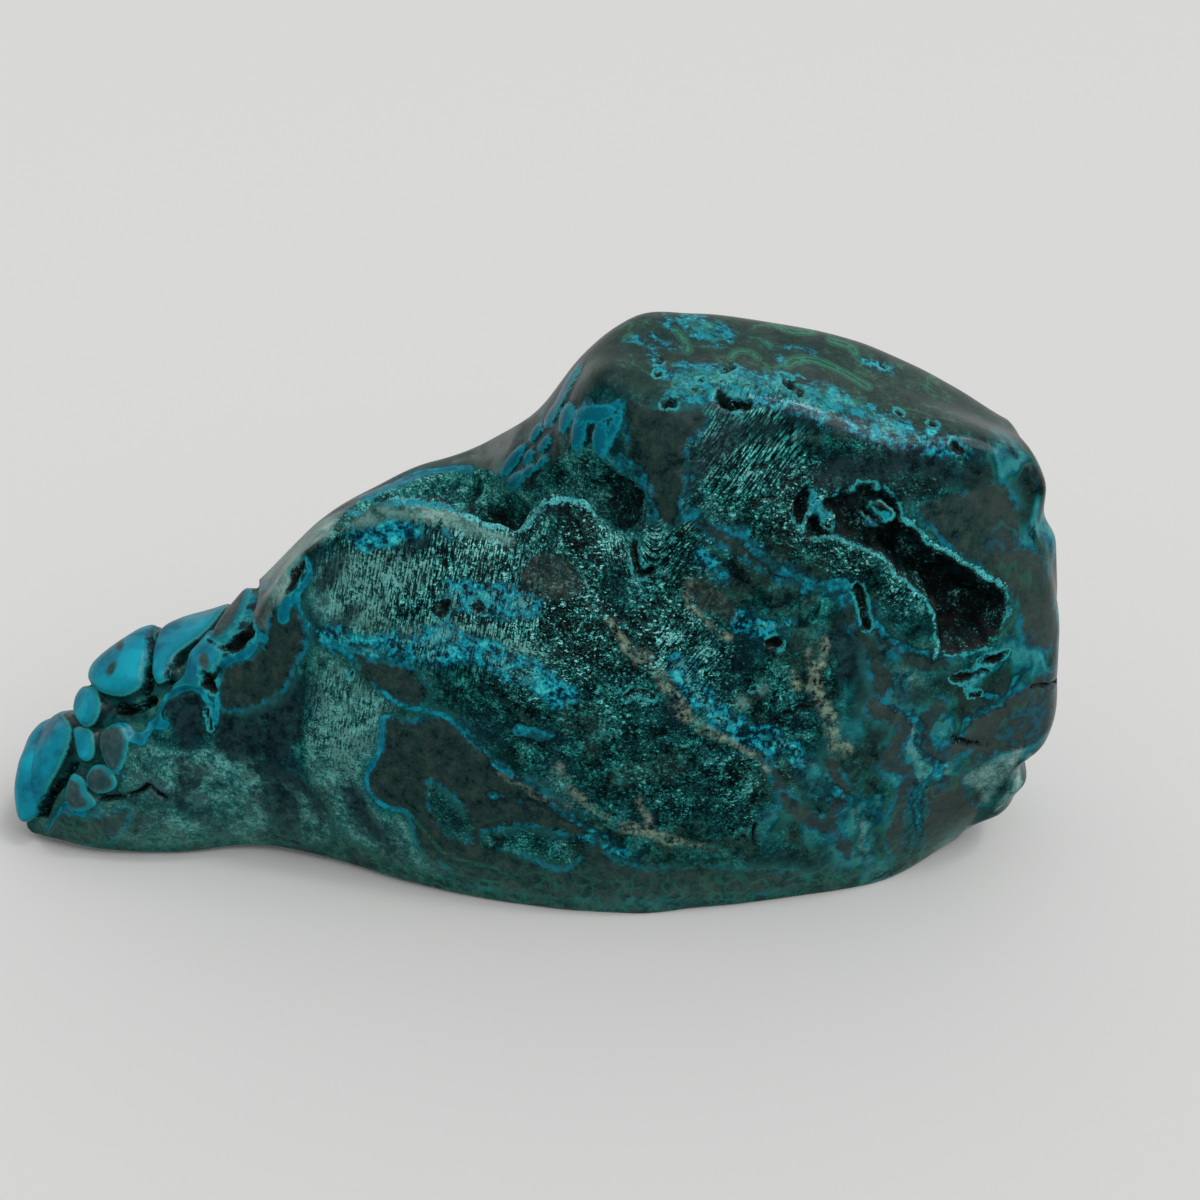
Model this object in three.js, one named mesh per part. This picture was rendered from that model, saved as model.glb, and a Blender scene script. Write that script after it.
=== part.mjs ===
// A polished free-form stone of chrysocolla and malachite, standing on its ground-flat base.
// It is one natural piece: a low lumpy nose at -X, a long flank with an open seam along its
// crest, and a tall head at +X with a slanting polished crown. All sizes are in millimetres.
// +X runs from the nose to the head, -Y is the broad show face, +Z is up, and the origin is
// on the base plane, under the middle of the stone. The lines below are drawn about a point
// a little off that middle, and the finished skin is moved over by MIDDLE.
import * as THREE from "three";
import { mergeVertices } from "three/addons/utils/BufferGeometryUtils.js";

const NOSE_POLE = [-94.8, -1.5, 6.5]; // x, y, z where every line meets at the nose
const HEAD_POLE = [95.8, 0, 27]; // and at the head
const NOSE_START = -88; // the nose closes in from here
const HEAD_START = 82; // and the head from here
const NOSE_FULLNESS = 2.2; // 2 closes as a circle does, and more is blunter
const MIDDLE = [0.5, -1.26]; // x, y of the middle of the lines' own box, moved to the origin
const STEPS_ALONG = 80; // slices from nose to head
const STEPS_PER_SPAN = 4; // facets between one line and the next
const END_CROWDING = 0.35; // share of cosine spacing, which gathers slices at the ends
const WELD = 1e-3; // points nearer than this are one point

// The lines that run down the length of the stone, in order round its section from the middle
// of the base: each is [fullness where the head closes, [x, y, z] knots from nose to head].
const LINES = {
  sole: [2.4, [[-88, 0, -1.5], [-76, 0, -1], [-50, 1, 0.8], [-30, 0, -1.5], [0, -1, -2.5],
    [40, 0, -2.5], [70, 2, -2], [82, 3, -1.5]]],
  foot: [2.4, [[-88, -7, 0], [-76, -9.5, -0.4], [-64, -10.5, -0.3], [-50, -9.5, 0.8],
    [-35, -12, 0], [-20, -17, -0.6], [0, -22.5, -0.8], [20, -24.5, -0.8], [45, -22, -0.8],
    [65, -16.5, -0.8], [82, -5, -0.8]]],
  toe: [2.2, [[-88, -10, 2.5], [-76, -13, 2.2], [-64, -13.5, 2.2], [-50, -12.5, 3.5],
    [-35, -15.5, 3], [-20, -21.5, 3], [0, -27.5, 3], [20, -29.5, 3.2], [45, -26.5, 3.2],
    [65, -21, 3.2], [82, -10.5, 4]]],
  belly: [2.2, [[-88, -9.5, 8], [-76, -14, 9], [-64, -15.5, 11], [-50, -15, 14],
    [-35, -18.5, 18], [-20, -23, 22], [0, -28, 24], [20, -30, 25], [45, -29, 25],
    [65, -25.5, 24], [82, -18, 22]]],
  chest: [2.0, [[-88, -8, 12.5], [-76, -12, 18], [-64, -13.5, 22], [-50, -13.5, 27],
    [-35, -17.5, 37], [-20, -21, 43], [0, -25.5, 46], [20, -28, 46], [45, -27.5, 46],
    [65, -25.5, 45], [82, -21, 41]]],
  plate: [1.7, [[-88, -4.5, 15.5], [-76, -7.5, 25], [-64, -9, 32], [-50, -10, 39],
    [-35, -13, 58.5], [-20, -14.5, 69.5], [-5, -15, 68.5], [10, -18, 67.5], [20, -22, 65],
    [45, -23.5, 66], [65, -23, 64], [82, -19.5, 57]]],
  seam: [1.45, [[-88, -1, 16.5], [-76, -3, 29], [-64, -4, 36], [-50, -5, 43], [-35, -7.5, 59],
    [-20, -8, 62], [-6, -8, 60], [8, -10, 66], [20, -19, 78], [45, -19.5, 79], [65, -19, 76],
    [82, -17, 68.5]]],
  brow: [1.4, [[-88, 1.5, 17], [-76, 1, 31], [-64, 1, 38], [-50, 0, 44.5], [-35, 1, 59],
    [-20, 4, 64.5], [-5, 6, 65.5], [6, -3, 76], [13, -12, 89], [22, -16, 89.3],
    [40, -16, 89.3], [60, -16, 83.5], [74, -15.5, 82], [82, -14, 78]]],
  facet: [1.4, [[-88, 4.5, 16.5], [-76, 5, 30], [-64, 5.5, 38], [-50, 5, 44.5], [-35, 7, 58.5],
    [-20, 9.5, 65], [-5, 11, 68.5], [5, 3, 78], [13, -3, 90.5], [25, -4, 93], [45, -4, 91],
    [60, -4, 87.5], [74, -4, 82.5], [82, -3, 78.5]]],
  crown: [1.5, [[-88, 7, 15], [-76, 9, 27.5], [-64, 10.5, 35], [-50, 11, 42], [-35, 13, 55],
    [-20, 15, 64], [-5, 17, 69.5], [5, 13, 78], [12, 8, 88.5], [20, 8, 94.5], [30, 8, 95.2],
    [45, 9, 93], [60, 9, 89.3], [74, 8, 82.5], [82, 7, 77]]],
  nape: [1.8, [[-88, 9.5, 12.5], [-76, 13, 22], [-64, 16, 28], [-50, 17, 35], [-35, 20, 45],
    [-20, 22, 55], [0, 23.5, 62], [20, 20, 81], [45, 20, 83], [65, 19, 76], [82, 15, 64]]],
  back: [2.2, [[-88, 11, 9], [-76, 15.5, 14], [-64, 19, 18], [-50, 21, 22], [-35, 24, 28],
    [-20, 26, 34], [0, 27, 40], [20, 27, 50], [45, 27, 50], [65, 25, 46], [82, 19, 39]]],
  lowBack: [2.4, [[-88, 10, 5], [-76, 13.5, 5], [-64, 17, 6], [-50, 19, 7], [-35, 22, 8],
    [-20, 24.5, 10], [0, 26, 12], [20, 26, 15], [45, 26, 15], [65, 24, 15], [82, 19, 14]]],
  heel: [2.4, [[-88, 6, 1], [-76, 8.5, -0.5], [-64, 11, -0.3], [-50, 12, 0.8], [-35, 15, 0],
    [-20, 18, -0.8], [0, 19, -0.8], [20, 19, -0.8], [45, 19, -0.8], [65, 18, -0.8],
    [82, 13, -0.8]]],
};

// Rounded lumps on the nose and head, and hollows worn into the stone: a centre, the half
// lengths of an ellipsoid round it, and how far the skin moves out (or, below zero, in).
const SWELLINGS = [
  { at: [-88, -4, 10], reach: [7, 10, 9], lift: 1.4 }, // the lump at the tip of the nose
  { at: [-71, 0, 34], reach: [6.5, 9, 6.5], lift: 2.2 }, // the round lump on the nose
  { at: [-59, -2, 40], reach: [7, 8, 6], lift: 1.0 }, // the long lump behind it
  { at: [-72, -9, 26], reach: [6, 7, 4.5], lift: -2.0 }, // the recess under the round lump
  { at: [85, -8, 30], reach: [14, 16, 10], lift: 1.6 }, // the polished boss on the head
  { at: [86, -6, 68], reach: [6, 16, 7], lift: -1.8 }, // the dent under the head's corner
  { at: [92, 6, 14], reach: [10, 18, 3.5], lift: -1.6 }, // the groove under the boss
  { at: [9, -11, 73], reach: [9, 9, 8], lift: -2.5 }, // the open cave under the brow
  { at: [61, -22, 68], reach: [8, 12, 6.5], lift: -3.0 }, // the slanting vug in the show
  { at: [68, -22, 61.5], reach: [9, 12, 8], lift: -3.4 }, // face, from its upper end
  { at: [75, -21, 55], reach: [7.5, 12, 8], lift: -3.2 }, // down to its lower end
];

// A point on a line at x: a cubic through the knots, with slopes weighted by their spacing.
function pointOnLine(knots, x) {
  const last = knots.length - 1;
  let i = 0;
  while (i < last - 1 && x > knots[i + 1][0]) i += 1;
  const rise = (j, axis) => knots[j + 1][axis] - knots[j][axis];
  const secant = (j, axis) => rise(j, axis) / rise(j, 0);
  const slope = (j, axis) => {
    if (j === 0) return secant(0, axis);
    if (j === last) return secant(last - 1, axis);
    const before = rise(j - 1, 0);
    const after = rise(j, 0);
    return (secant(j - 1, axis) * after + secant(j, axis) * before) / (before + after);
  };
  const span = rise(i, 0);
  const t = THREE.MathUtils.clamp((x - knots[i][0]) / span, 0, 1);
  const at = (axis) =>
    (2 * t ** 3 - 3 * t ** 2 + 1) * knots[i][axis] +
    (t ** 3 - 2 * t ** 2 + t) * span * slope(i, axis) +
    (3 * t ** 2 - 2 * t ** 3) * knots[i + 1][axis] +
    (t ** 3 - t ** 2) * span * slope(i + 1, axis);
  return [at(1), at(2)];
}

// How much of the section is left a share k of the way to a pole.
const closing = (k, fullness) => (1 - k ** fullness) ** (1 / fullness);

// The [y, z] corners of the stone's section at x, one for each line.
function sectionAt(x) {
  const inside = THREE.MathUtils.clamp(x, NOSE_START, HEAD_START);
  const toNose = THREE.MathUtils.clamp((NOSE_START - x) / (NOSE_START - NOSE_POLE[0]), 0, 1);
  const toHead = THREE.MathUtils.clamp((x - HEAD_START) / (HEAD_POLE[0] - HEAD_START), 0, 1);
  const pole = toNose > 0 ? NOSE_POLE : HEAD_POLE;
  return Object.values(LINES).map(([headFullness, knots]) => {
    const left = toNose > 0 ? closing(toNose, NOSE_FULLNESS) : closing(toHead, headFullness);
    const [y, z] = pointOnLine(knots, inside);
    return [pole[1] + (y - pole[1]) * left, pole[2] + (z - pole[2]) * left];
  });
}

// A closed curve through the corners of a section, as STEPS_PER_SPAN points for each corner.
function roundedRing(x) {
  const corners = sectionAt(x);
  const count = corners.length;
  const ring = [];
  for (let k = 0; k < count; k += 1) {
    const [a, b, c, d] = [-1, 0, 1, 2].map((step) => corners[(k + step + count) % count]);
    for (let s = 0; s < STEPS_PER_SPAN; s += 1) {
      const t = s / STEPS_PER_SPAN;
      const along = (axis) =>
        0.5 *
        (2 * b[axis] +
          (c[axis] - a[axis]) * t +
          (2 * a[axis] - 5 * b[axis] + 4 * c[axis] - d[axis]) * t ** 2 +
          (3 * b[axis] - a[axis] - 3 * c[axis] + d[axis]) * t ** 3);
      ring.push(new THREE.Vector3(x, along(0), along(1)));
    }
  }
  return ring;
}

// Where slice number i of the stone stands along X.
function sliceX(i) {
  const share = i / STEPS_ALONG;
  const eased = (1 - Math.cos(Math.PI * share)) / 2;
  const spread = (1 - END_CROWDING) * share + END_CROWDING * eased;
  return NOSE_POLE[0] + (HEAD_POLE[0] - NOSE_POLE[0]) * spread;
}

// How far the skin moves out at a point: each swelling is a smooth hill that fades to nothing
// at the surface of its ellipsoid.
function liftAt(point) {
  return SWELLINGS.reduce((total, { at, reach, lift }) => {
    const offsets = at.map((middle, axis) => (point.getComponent(axis) - middle) / reach[axis]);
    const away = Math.hypot(...offsets);
    return away < 1 ? total + lift * (1 - away ** 2) ** 2 : total;
  }, 0);
}

// The closed skin: rings of points between the two poles, moved by the swellings along the
// outward normal, and then ground off flat at the base plane.
function stoneGeometry() {
  const rings = [];
  for (let i = 1; i < STEPS_ALONG; i += 1) rings.push(roundedRing(sliceX(i)));
  const around = rings[0].length;
  const points = [new THREE.Vector3(...NOSE_POLE), ...rings.flat(), new THREE.Vector3(...HEAD_POLE)];
  const indexOf = (ring, j) => 1 + ring * around + (j % around);
  const faces = [];
  for (let j = 0; j < around; j += 1) {
    faces.push(0, indexOf(0, j), indexOf(0, j + 1));
    for (let i = 0; i < rings.length - 1; i += 1) {
      faces.push(indexOf(i, j), indexOf(i + 1, j), indexOf(i + 1, j + 1));
      faces.push(indexOf(i, j), indexOf(i + 1, j + 1), indexOf(i, j + 1));
    }
    faces.push(points.length - 1, indexOf(rings.length - 1, j + 1), indexOf(rings.length - 1, j));
  }
  const skin = new THREE.BufferGeometry().setFromPoints(points);
  skin.setIndex(faces);
  skin.computeVertexNormals();
  const normals = skin.getAttribute("normal");
  const positions = skin.getAttribute("position");
  points.forEach((point, i) => {
    const outward = new THREE.Vector3().fromBufferAttribute(normals, i);
    point.addScaledVector(outward, liftAt(point));
    positions.setXYZ(i, point.x, point.y, Math.max(point.z, 0));
  });
  skin.deleteAttribute("normal");
  skin.translate(-MIDDLE[0], -MIDDLE[1], 0);
  return mergeVertices(skin, WELD);
}

const stoneMaterial = new THREE.MeshStandardMaterial({
  color: new THREE.Color(0.07, 0.24, 0.25),
  roughness: 0.35,
  metalness: 0,
});

const stone = new THREE.Mesh(stoneGeometry(), stoneMaterial);
stone.name = "chrysocolla_stone";

const specimen = new THREE.Group();
specimen.add(stone);

export default specimen;
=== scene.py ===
# %% [markdown]
# # A polished stone of chrysocolla and malachite
# The real object is one heavy stone, ground and polished by hand to a free shape. Dark green
# malachite, turquoise chrysocolla and a sparkling druse of tiny crystals grew through each other,
# so its face is a map of islands, ribbons, speckled fields and open pits.
# This lesson makes it as one closed skin. First the stone's plain form, then its relief, and then
# a material that reads where each mineral lies from numbers stored on the skin's own points.
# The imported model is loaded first, because everything here has to stand inside its box.

import bpy
import numpy as np
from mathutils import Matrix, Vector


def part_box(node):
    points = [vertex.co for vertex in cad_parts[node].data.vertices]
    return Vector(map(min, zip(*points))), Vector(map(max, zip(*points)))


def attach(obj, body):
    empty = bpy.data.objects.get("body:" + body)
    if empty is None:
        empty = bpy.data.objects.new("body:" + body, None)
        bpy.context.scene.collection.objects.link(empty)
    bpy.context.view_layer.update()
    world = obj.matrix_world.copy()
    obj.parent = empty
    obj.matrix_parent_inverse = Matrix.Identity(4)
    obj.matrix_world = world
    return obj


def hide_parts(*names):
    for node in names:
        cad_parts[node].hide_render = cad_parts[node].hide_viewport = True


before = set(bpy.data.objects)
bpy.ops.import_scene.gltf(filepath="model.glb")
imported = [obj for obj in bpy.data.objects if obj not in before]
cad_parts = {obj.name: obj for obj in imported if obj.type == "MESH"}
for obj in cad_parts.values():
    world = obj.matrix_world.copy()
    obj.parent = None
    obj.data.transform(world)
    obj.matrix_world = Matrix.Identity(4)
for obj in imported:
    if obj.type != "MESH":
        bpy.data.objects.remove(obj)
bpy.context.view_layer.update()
stone_low, stone_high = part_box("chrysocolla_stone")
print("packed stone, m:", [round(v, 4) for v in stone_high - stone_low])

MM = 0.001
SEED = 7

# %% [markdown]
# ## Camera, light and floor
# The stone is seen from a little above, standing on a pale table that has no edge. A soft white
# sky lights it from overhead, as a tent of white cloth does, a little brighter on the right.
# The camera comes first: it stands level across and looks down, with no depth of field.

# %% Camera
CAMERA_AT = (13.8 * MM, -223.7 * MM, 165.6 * MM)
CAMERA_DOWN = 28.0  # degrees below level
VIEW_ANGLE = 45.0

camera_data = bpy.data.cameras.new("camera")
camera_data.angle = np.radians(VIEW_ANGLE)
camera_data.clip_start = 0.01
camera = bpy.data.objects.new("camera", camera_data)
camera.location = CAMERA_AT
camera.rotation_euler = (np.radians(90.0 - CAMERA_DOWN), 0.0, 0.0)
bpy.context.scene.collection.objects.link(camera)
bpy.context.scene.camera = camera
bpy.context.scene.view_settings.view_transform = "Standard"
print("camera stands", round(float(np.linalg.norm(CAMERA_AT)), 3), "m from the origin")


# %% [markdown]
# ## Writing a shader as sums
# A shader is a web of nodes, and a long one is hard to read as links. It could be joined by hand
# in the shader editor. Here a small class stands for one output socket, so that the sum of two
# sockets adds a Math node and links it, and another class adds any other node in one call. Colours
# go through Mix nodes, because a Math node turns a colour grey.

# %% A class that lets shader sockets be used as numbers
class Wire:
    """One output socket. Sums and products of wires add Math nodes to the recipe it is from."""

    def __init__(self, recipe, socket):
        self.recipe = recipe
        self.socket = socket

    def _math(self, operation, a, b=0.0):
        return self.recipe.node("ShaderNodeMath", {"operation": operation}, {0: a, 1: b})

    def __add__(self, other):
        return self._math("ADD", self, other)

    def __sub__(self, other):
        return self._math("SUBTRACT", self, other)

    def __rsub__(self, other):
        return self._math("SUBTRACT", other, self)

    def __mul__(self, other):
        return self._math("MULTIPLY", self, other)

    __radd__ = __add__
    __rmul__ = __mul__

    def __abs__(self):
        return self._math("ABSOLUTE", self)

    def sine(self):
        return self._math("SINE", self)

    def least(self, other):
        return self._math("MINIMUM", self, other)

    def most(self, other):
        return self._math("MAXIMUM", self, other)

    def rise(self, start, end):
        """0 below start and 1 above end, with a smooth step between; start may be the larger."""
        settings = {"interpolation_type": "SMOOTHSTEP"}
        sockets = {"Value": self, "From Min": start, "From Max": end}
        return self.recipe.node("ShaderNodeMapRange", settings, sockets)


class Recipe:
    """The node tree of one material or world, written as Python expressions."""

    def __init__(self, owner):
        owner.use_nodes = True
        self.tree = owner.node_tree
        self.tree.nodes.clear()

    def node(self, kind, settings=None, sockets=None, out=0):
        """Adds a node, sets its settings, fills its sockets, and gives output out as a Wire."""
        made = self.tree.nodes.new(kind)
        for name, value in (settings or {}).items():
            setattr(made, name, value)
        for name, value in (sockets or {}).items():
            if isinstance(value, Wire):
                self.tree.links.new(value.socket, made.inputs[name])
            else:
                made.inputs[name].default_value = value
        return Wire(self, made.outputs[out]) if made.outputs else made

    def mix(self, mask, a, b):
        """Colour a where the mask is 0 and colour b where it is 1."""
        return self.node("ShaderNodeMix", {"data_type": "RGBA"}, {0: mask, 6: a, 7: b}, out=2)

    def blend(self, mask, a, b):
        """The same for two numbers or wires of numbers."""
        return self.node("ShaderNodeMix", {"data_type": "FLOAT"}, {0: mask, 2: a, 3: b})

    def ramp(self, level, steps):
        """Colours by level: each step is (level, colour), with a smooth change to the next."""
        colour = steps[0][1]
        for (start, _), (end, after) in zip(steps, steps[1:]):
            colour = self.mix(level.rise(start, end), colour, after)
        return colour

    def noise(self, place, scale, detail=2.0, roughness=0.5, colour=False):
        """Cloudy noise from 0 to 1, with scale clouds to the unit of place."""
        sockets = {"Vector": place, "Scale": scale, "Detail": detail, "Roughness": roughness}
        return self.node("ShaderNodeTexNoise", {}, sockets, out="Color" if colour else 0)

    def vector(self, operation, a, b, out="Vector"):
        """Vector maths. b is a vector, or a number where the operation is SCALE."""
        second = "Scale" if operation == "SCALE" else 1
        return self.node("ShaderNodeVectorMath", {"operation": operation}, {0: a, second: b}, out)

    def stored(self, name):
        """The number stored under this name on the skin's points."""
        return self.node("ShaderNodeAttribute", {"attribute_name": name}, out="Fac")


def ink(red, green, blue):
    """A colour from three numbers of 0 to 255, as a screen shows it, in linear light."""
    parts = np.array([red, green, blue]) / 255.0
    low = parts / 12.92
    high = ((parts + 0.055) / 1.055) ** 2.4
    return (*np.where(parts <= 0.04045, low, high).tolist(), 1.0)


print("sRGB mid grey in linear light:", round(ink(128, 128, 128)[0], 3))

# %% [markdown]
# ## Sky, lamps and floor
# Polished stone shows its surroundings, so the light decides how dark it looks. An image of a
# studio could be wrapped round the scene. Here the sky is worked out from its direction. The
# upright face mirrors the dimmer room in front of it, which keeps the dark malachite dark, so for
# mirrored rays the sky falls away towards the horizon, and the floor isn't mirrored. Two lamps
# far away do the rest: a broad soft panel, and a small window for the glint along the crown.

# %% Sky, lamps and floor
SKY = (1.0, 1.0, 0.992, 1.0)
BACKDROP = ink(216, 216, 214)
SKY_LEFT, SKY_RIGHT = 0.49, 0.78  # its light from the left and from the right
MIRROR_LOW, MIRROR_HIGH = 0.04, 0.50  # what polished faces mirror, in front and overhead
MIRROR_BEHIND = 0.37  # and what they mirror of the white cloth behind the stone
LAMPS = [  # name, degrees of sky that it fills, degrees in front and to the right, strength
    ("panel", 44.0, (16.0, 40.0), 0.88),
    ("window", 8.0, (3.0, 25.0), 0.30),
]
FLOOR_HALF = 6.0  # metres from the middle of the table to its edge

world = bpy.data.worlds.new("tent")
bpy.context.scene.world = world
sky = Recipe(world)
direction = sky.node("ShaderNodeTexCoord", out="Generated")
height = sky.node("ShaderNodeSeparateXYZ", sockets={0: direction}, out="Z")
behind = sky.node("ShaderNodeSeparateXYZ", sockets={0: direction}, out="Y")
aside = sky.node("ShaderNodeSeparateXYZ", sockets={0: direction}, out="X")
lighting = sky.blend(aside.rise(-0.9, 0.9), SKY_LEFT, SKY_RIGHT)
mirrored = sky.blend(height.rise(0.15, 0.95), MIRROR_LOW, MIRROR_HIGH)
mirrored = sky.blend(behind.rise(0.05, 0.75), mirrored, MIRROR_BEHIND)
seen_plainly = sky.node("ShaderNodeLightPath", out="Is Camera Ray")
seen_mirrored = sky.node("ShaderNodeLightPath", out="Is Glossy Ray")
strength = sky.blend(seen_mirrored, lighting, mirrored)
light = sky.node("ShaderNodeBackground", sockets={"Color": SKY, "Strength": strength})
backdrop = sky.node("ShaderNodeBackground", sockets={"Color": BACKDROP, "Strength": 1.0})
seen = sky.node("ShaderNodeMixShader", sockets={0: seen_plainly, 1: light, 2: backdrop})
sky.node("ShaderNodeOutputWorld", sockets={"Surface": seen})

for name, width, turn, lamp_strength in LAMPS:
    lamp_data = bpy.data.lights.new(name, "SUN")
    lamp_data.angle = np.radians(width)
    lamp_data.energy = lamp_strength
    lamp = bpy.data.objects.new(name, lamp_data)
    lamp.rotation_euler = (np.radians(turn[0]), np.radians(turn[1]), 0.0)
    bpy.context.scene.collection.objects.link(lamp)

floor_mesh = bpy.data.meshes.new("floor")
corners = [(x * FLOOR_HALF, y * FLOOR_HALF, 0.0) for x, y in ((-1, -1), (1, -1), (1, 1), (-1, 1))]
floor_mesh.from_pydata(corners, [], [(0, 1, 2, 3)])
floor = bpy.data.objects.new("floor", floor_mesh)
bpy.context.scene.collection.objects.link(floor)
floor.visible_glossy = False
floor_paint = bpy.data.materials.new("table_white")
paint = Recipe(floor_paint)
matt = paint.node(
    "ShaderNodeBsdfPrincipled",
    sockets={"Base Color": ink(225, 225, 224), "Roughness": 0.9, "Specular IOR Level": 0.1},
)
paint.node("ShaderNodeOutputMaterial", sockets={"Surface": matt})
floor_mesh.materials.append(floor_paint)
print("lamps:", ", ".join(name for name, *_ in LAMPS))

# %% [markdown]
# ## The plain form
# A lapidary roughs the stone out as long faces that run from nose to head and meet in soft
# edges. It could be sculpted, or cut from a block with planes. Here fourteen lines run down its
# length, each a smooth curve through a few knots, and a closed curve round the stone joins them
# at every slice. Any knot can be moved to change the form there and nowhere else.
# Lines and knots are in millimetres, about a point MIDDLE away from the middle of the base.

# %% The lines of the form
NOSE_POLE = (-94.8, -1.5, 6.5)  # where every line meets at the nose
HEAD_POLE = (95.8, 0.0, 27.0)  # and at the head
NOSE_START, HEAD_START = -88.0, 82.0  # the ends close in from here
NOSE_FULLNESS = 2.2  # 2 closes as a circle does, and more is blunter
MIDDLE = np.array([0.5, -1.26, 0.0])


def points(text):
    """Knots from text: the numbers of a knot stand between commas, and knots between spaces."""
    return np.array([[float(part) for part in knot.split(",")] for knot in text.split()])


# name: (fullness where the head closes, how many skin points to the next line, knots x,y,z)
LINES = {
    "sole": (
        2.4, 6, "-88,0,-1.5 -76,0,-1 -50,1,.8 -30,0,-1.5 0,-1,-2.5 40,0,-2.5 70,2,-2 "
        "82,3,-1.5",
    ),
    "foot": (
        2.4, 8, "-88,-7,0 -76,-9.5,-.4 -64,-10.5,-.3 -50,-9.5,.8 -35,-12,0 -20,-17,-.6 "
        "0,-22.5,-.8 20,-24.5,-.8 45,-22,-.8 65,-16.5,-.8 82,-5,-.8",
    ),
    "toe": (
        2.2, 22, "-88,-10,2.5 -76,-13,2.2 -64,-13.5,2.2 -50,-12.5,3.5 -35,-15.5,3 -20,-21.5,3 "
        "0,-27.5,3 20,-29.5,3.2 45,-26.5,3.2 65,-21,3.2 82,-10.5,4",
    ),
    "belly": (
        2.2, 26, "-88,-9.5,8 -76,-14,9 -64,-15.5,11 -50,-15,14 -35,-18.5,18 -20,-23,22 0,-28,24 "
        "20,-30,25 45,-29,25 65,-25.5,24 82,-18,22",
    ),
    "chest": (
        2.0, 28, "-88,-8,12.5 -76,-12,18 -64,-13.5,22 -50,-13.5,27 -35,-17.5,37 -20,-21,43 "
        "0,-25.5,46 20,-28,46 45,-27.5,46 65,-25.5,45 82,-21,41",
    ),
    "plate": (
        1.7, 22, "-88,-4.5,15.5 -76,-7.5,25 -64,-9,32 -50,-10,39 -35,-13,58.5 -20,-14.5,69.5 "
        "-5,-15,68.5 10,-18,67.5 20,-22,65 45,-23.5,66 65,-23,64 82,-19.5,57",
    ),
    "seam": (
        1.45, 20, "-88,-1,16.5 -76,-3,29 -64,-4,36 -50,-5,43 -35,-7.5,59 -20,-8,62 -6,-8,60 "
        "8,-10,66 20,-19,78 45,-19.5,79 65,-19,76 82,-17,68.5",
    ),
    "brow": (
        1.4, 20, "-88,1.5,17 -76,1,31 -64,1,38 -50,0,44.5 -35,1,59 -20,4,64.5 -5,6,65.5 "
        "6,-3,76 13,-12,89 22,-16,89.3 40,-16,89.3 60,-16,83.5 74,-15.5,82 82,-14,78",
    ),
    "facet": (
        1.4, 16, "-88,4.5,16.5 -76,5,30 -64,5.5,38 -50,5,44.5 -35,7,58.5 -20,9.5,65 -5,11,68.5 "
        "5,3,78 13,-3,90.5 25,-4,93 45,-4,91 60,-4,87.5 74,-4,82.5 82,-3,78.5",
    ),
    "crown": (
        1.5, 12, "-88,7,15 -76,9,27.5 -64,10.5,35 -50,11,42 -35,13,55 -20,15,64 -5,17,69.5 "
        "5,13,78 12,8,88.5 20,8,94.5 30,8,95.2 45,9,93 60,9,89.3 74,8,82.5 82,7,77",
    ),
    "nape": (
        1.8, 16, "-88,9.5,12.5 -76,13,22 -64,16,28 -50,17,35 -35,20,45 -20,22,55 0,23.5,62 "
        "20,20,81 45,20,83 65,19,76 82,15,64",
    ),
    "back": (
        2.2, 14, "-88,11,9 -76,15.5,14 -64,19,18 -50,21,22 -35,24,28 -20,26,34 0,27,40 20,27,50 "
        "45,27,50 65,25,46 82,19,39",
    ),
    "low back": (
        2.4, 8, "-88,10,5 -76,13.5,5 -64,17,6 -50,19,7 -35,22,8 -20,24.5,10 0,26,12 20,26,15 "
        "45,26,15 65,24,15 82,19,14",
    ),
    "heel": (
        2.4, 5, "-88,6,1 -76,8.5,-.5 -64,11,-.3 -50,12,.8 -35,15,0 -20,18,-.8 0,19,-.8 "
        "20,19,-.8 45,19,-.8 65,18,-.8 82,13,-.8",
    ),
}


def along_line(knots, x):
    """Where a line stands at each x: a cubic through the knots, whose slope at a knot is that of
    its two neighbouring stretches, each weighted by the length of the other."""
    at, place = knots[:, 0], knots[:, 1:]
    gap = np.diff(at)[:, None]
    secant = np.diff(place, axis=0) / gap
    slope = np.empty_like(place)
    slope[1:-1] = (secant[:-1] * gap[1:] + secant[1:] * gap[:-1]) / (gap[1:] + gap[:-1])
    slope[0], slope[-1] = secant[0], secant[-1]
    i = np.clip(np.searchsorted(at, x) - 1, 0, len(at) - 2)
    span = (at[i + 1] - at[i])[:, None]
    t = np.clip((x - at[i])[:, None] / span, 0, 1)
    return (
        (2 * t**3 - 3 * t**2 + 1) * place[i]
        + (t**3 - 2 * t**2 + t) * span * slope[i]
        + (3 * t**2 - 2 * t**3) * place[i + 1]
        + (t**3 - t**2) * span * slope[i + 1]
    )


# %% [markdown]
# ## From lines to a skin
# The lines alone are a cage. A subdivision surface on the cage would be quick but would shrink away
# from it. Here each slice takes its point from every line and joins them by a closed curve that
# passes through them all, so the skin stands where the lines say. At both ends the slices close in
# on a pole as an ellipse does. A place round the stone is told by its line's number, counted from
# 0 at the sole: the chest is line 4, the plate 5, the seam 6, the brow 7, the crown 9, the nape 10.

# %% The form as a grid of points
LENGTH_STEPS = 440  # steps from pole to pole, with one slice fewer between them
END_CROWDING = 0.35  # share of cosine spacing, which gathers slices at the ends


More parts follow.
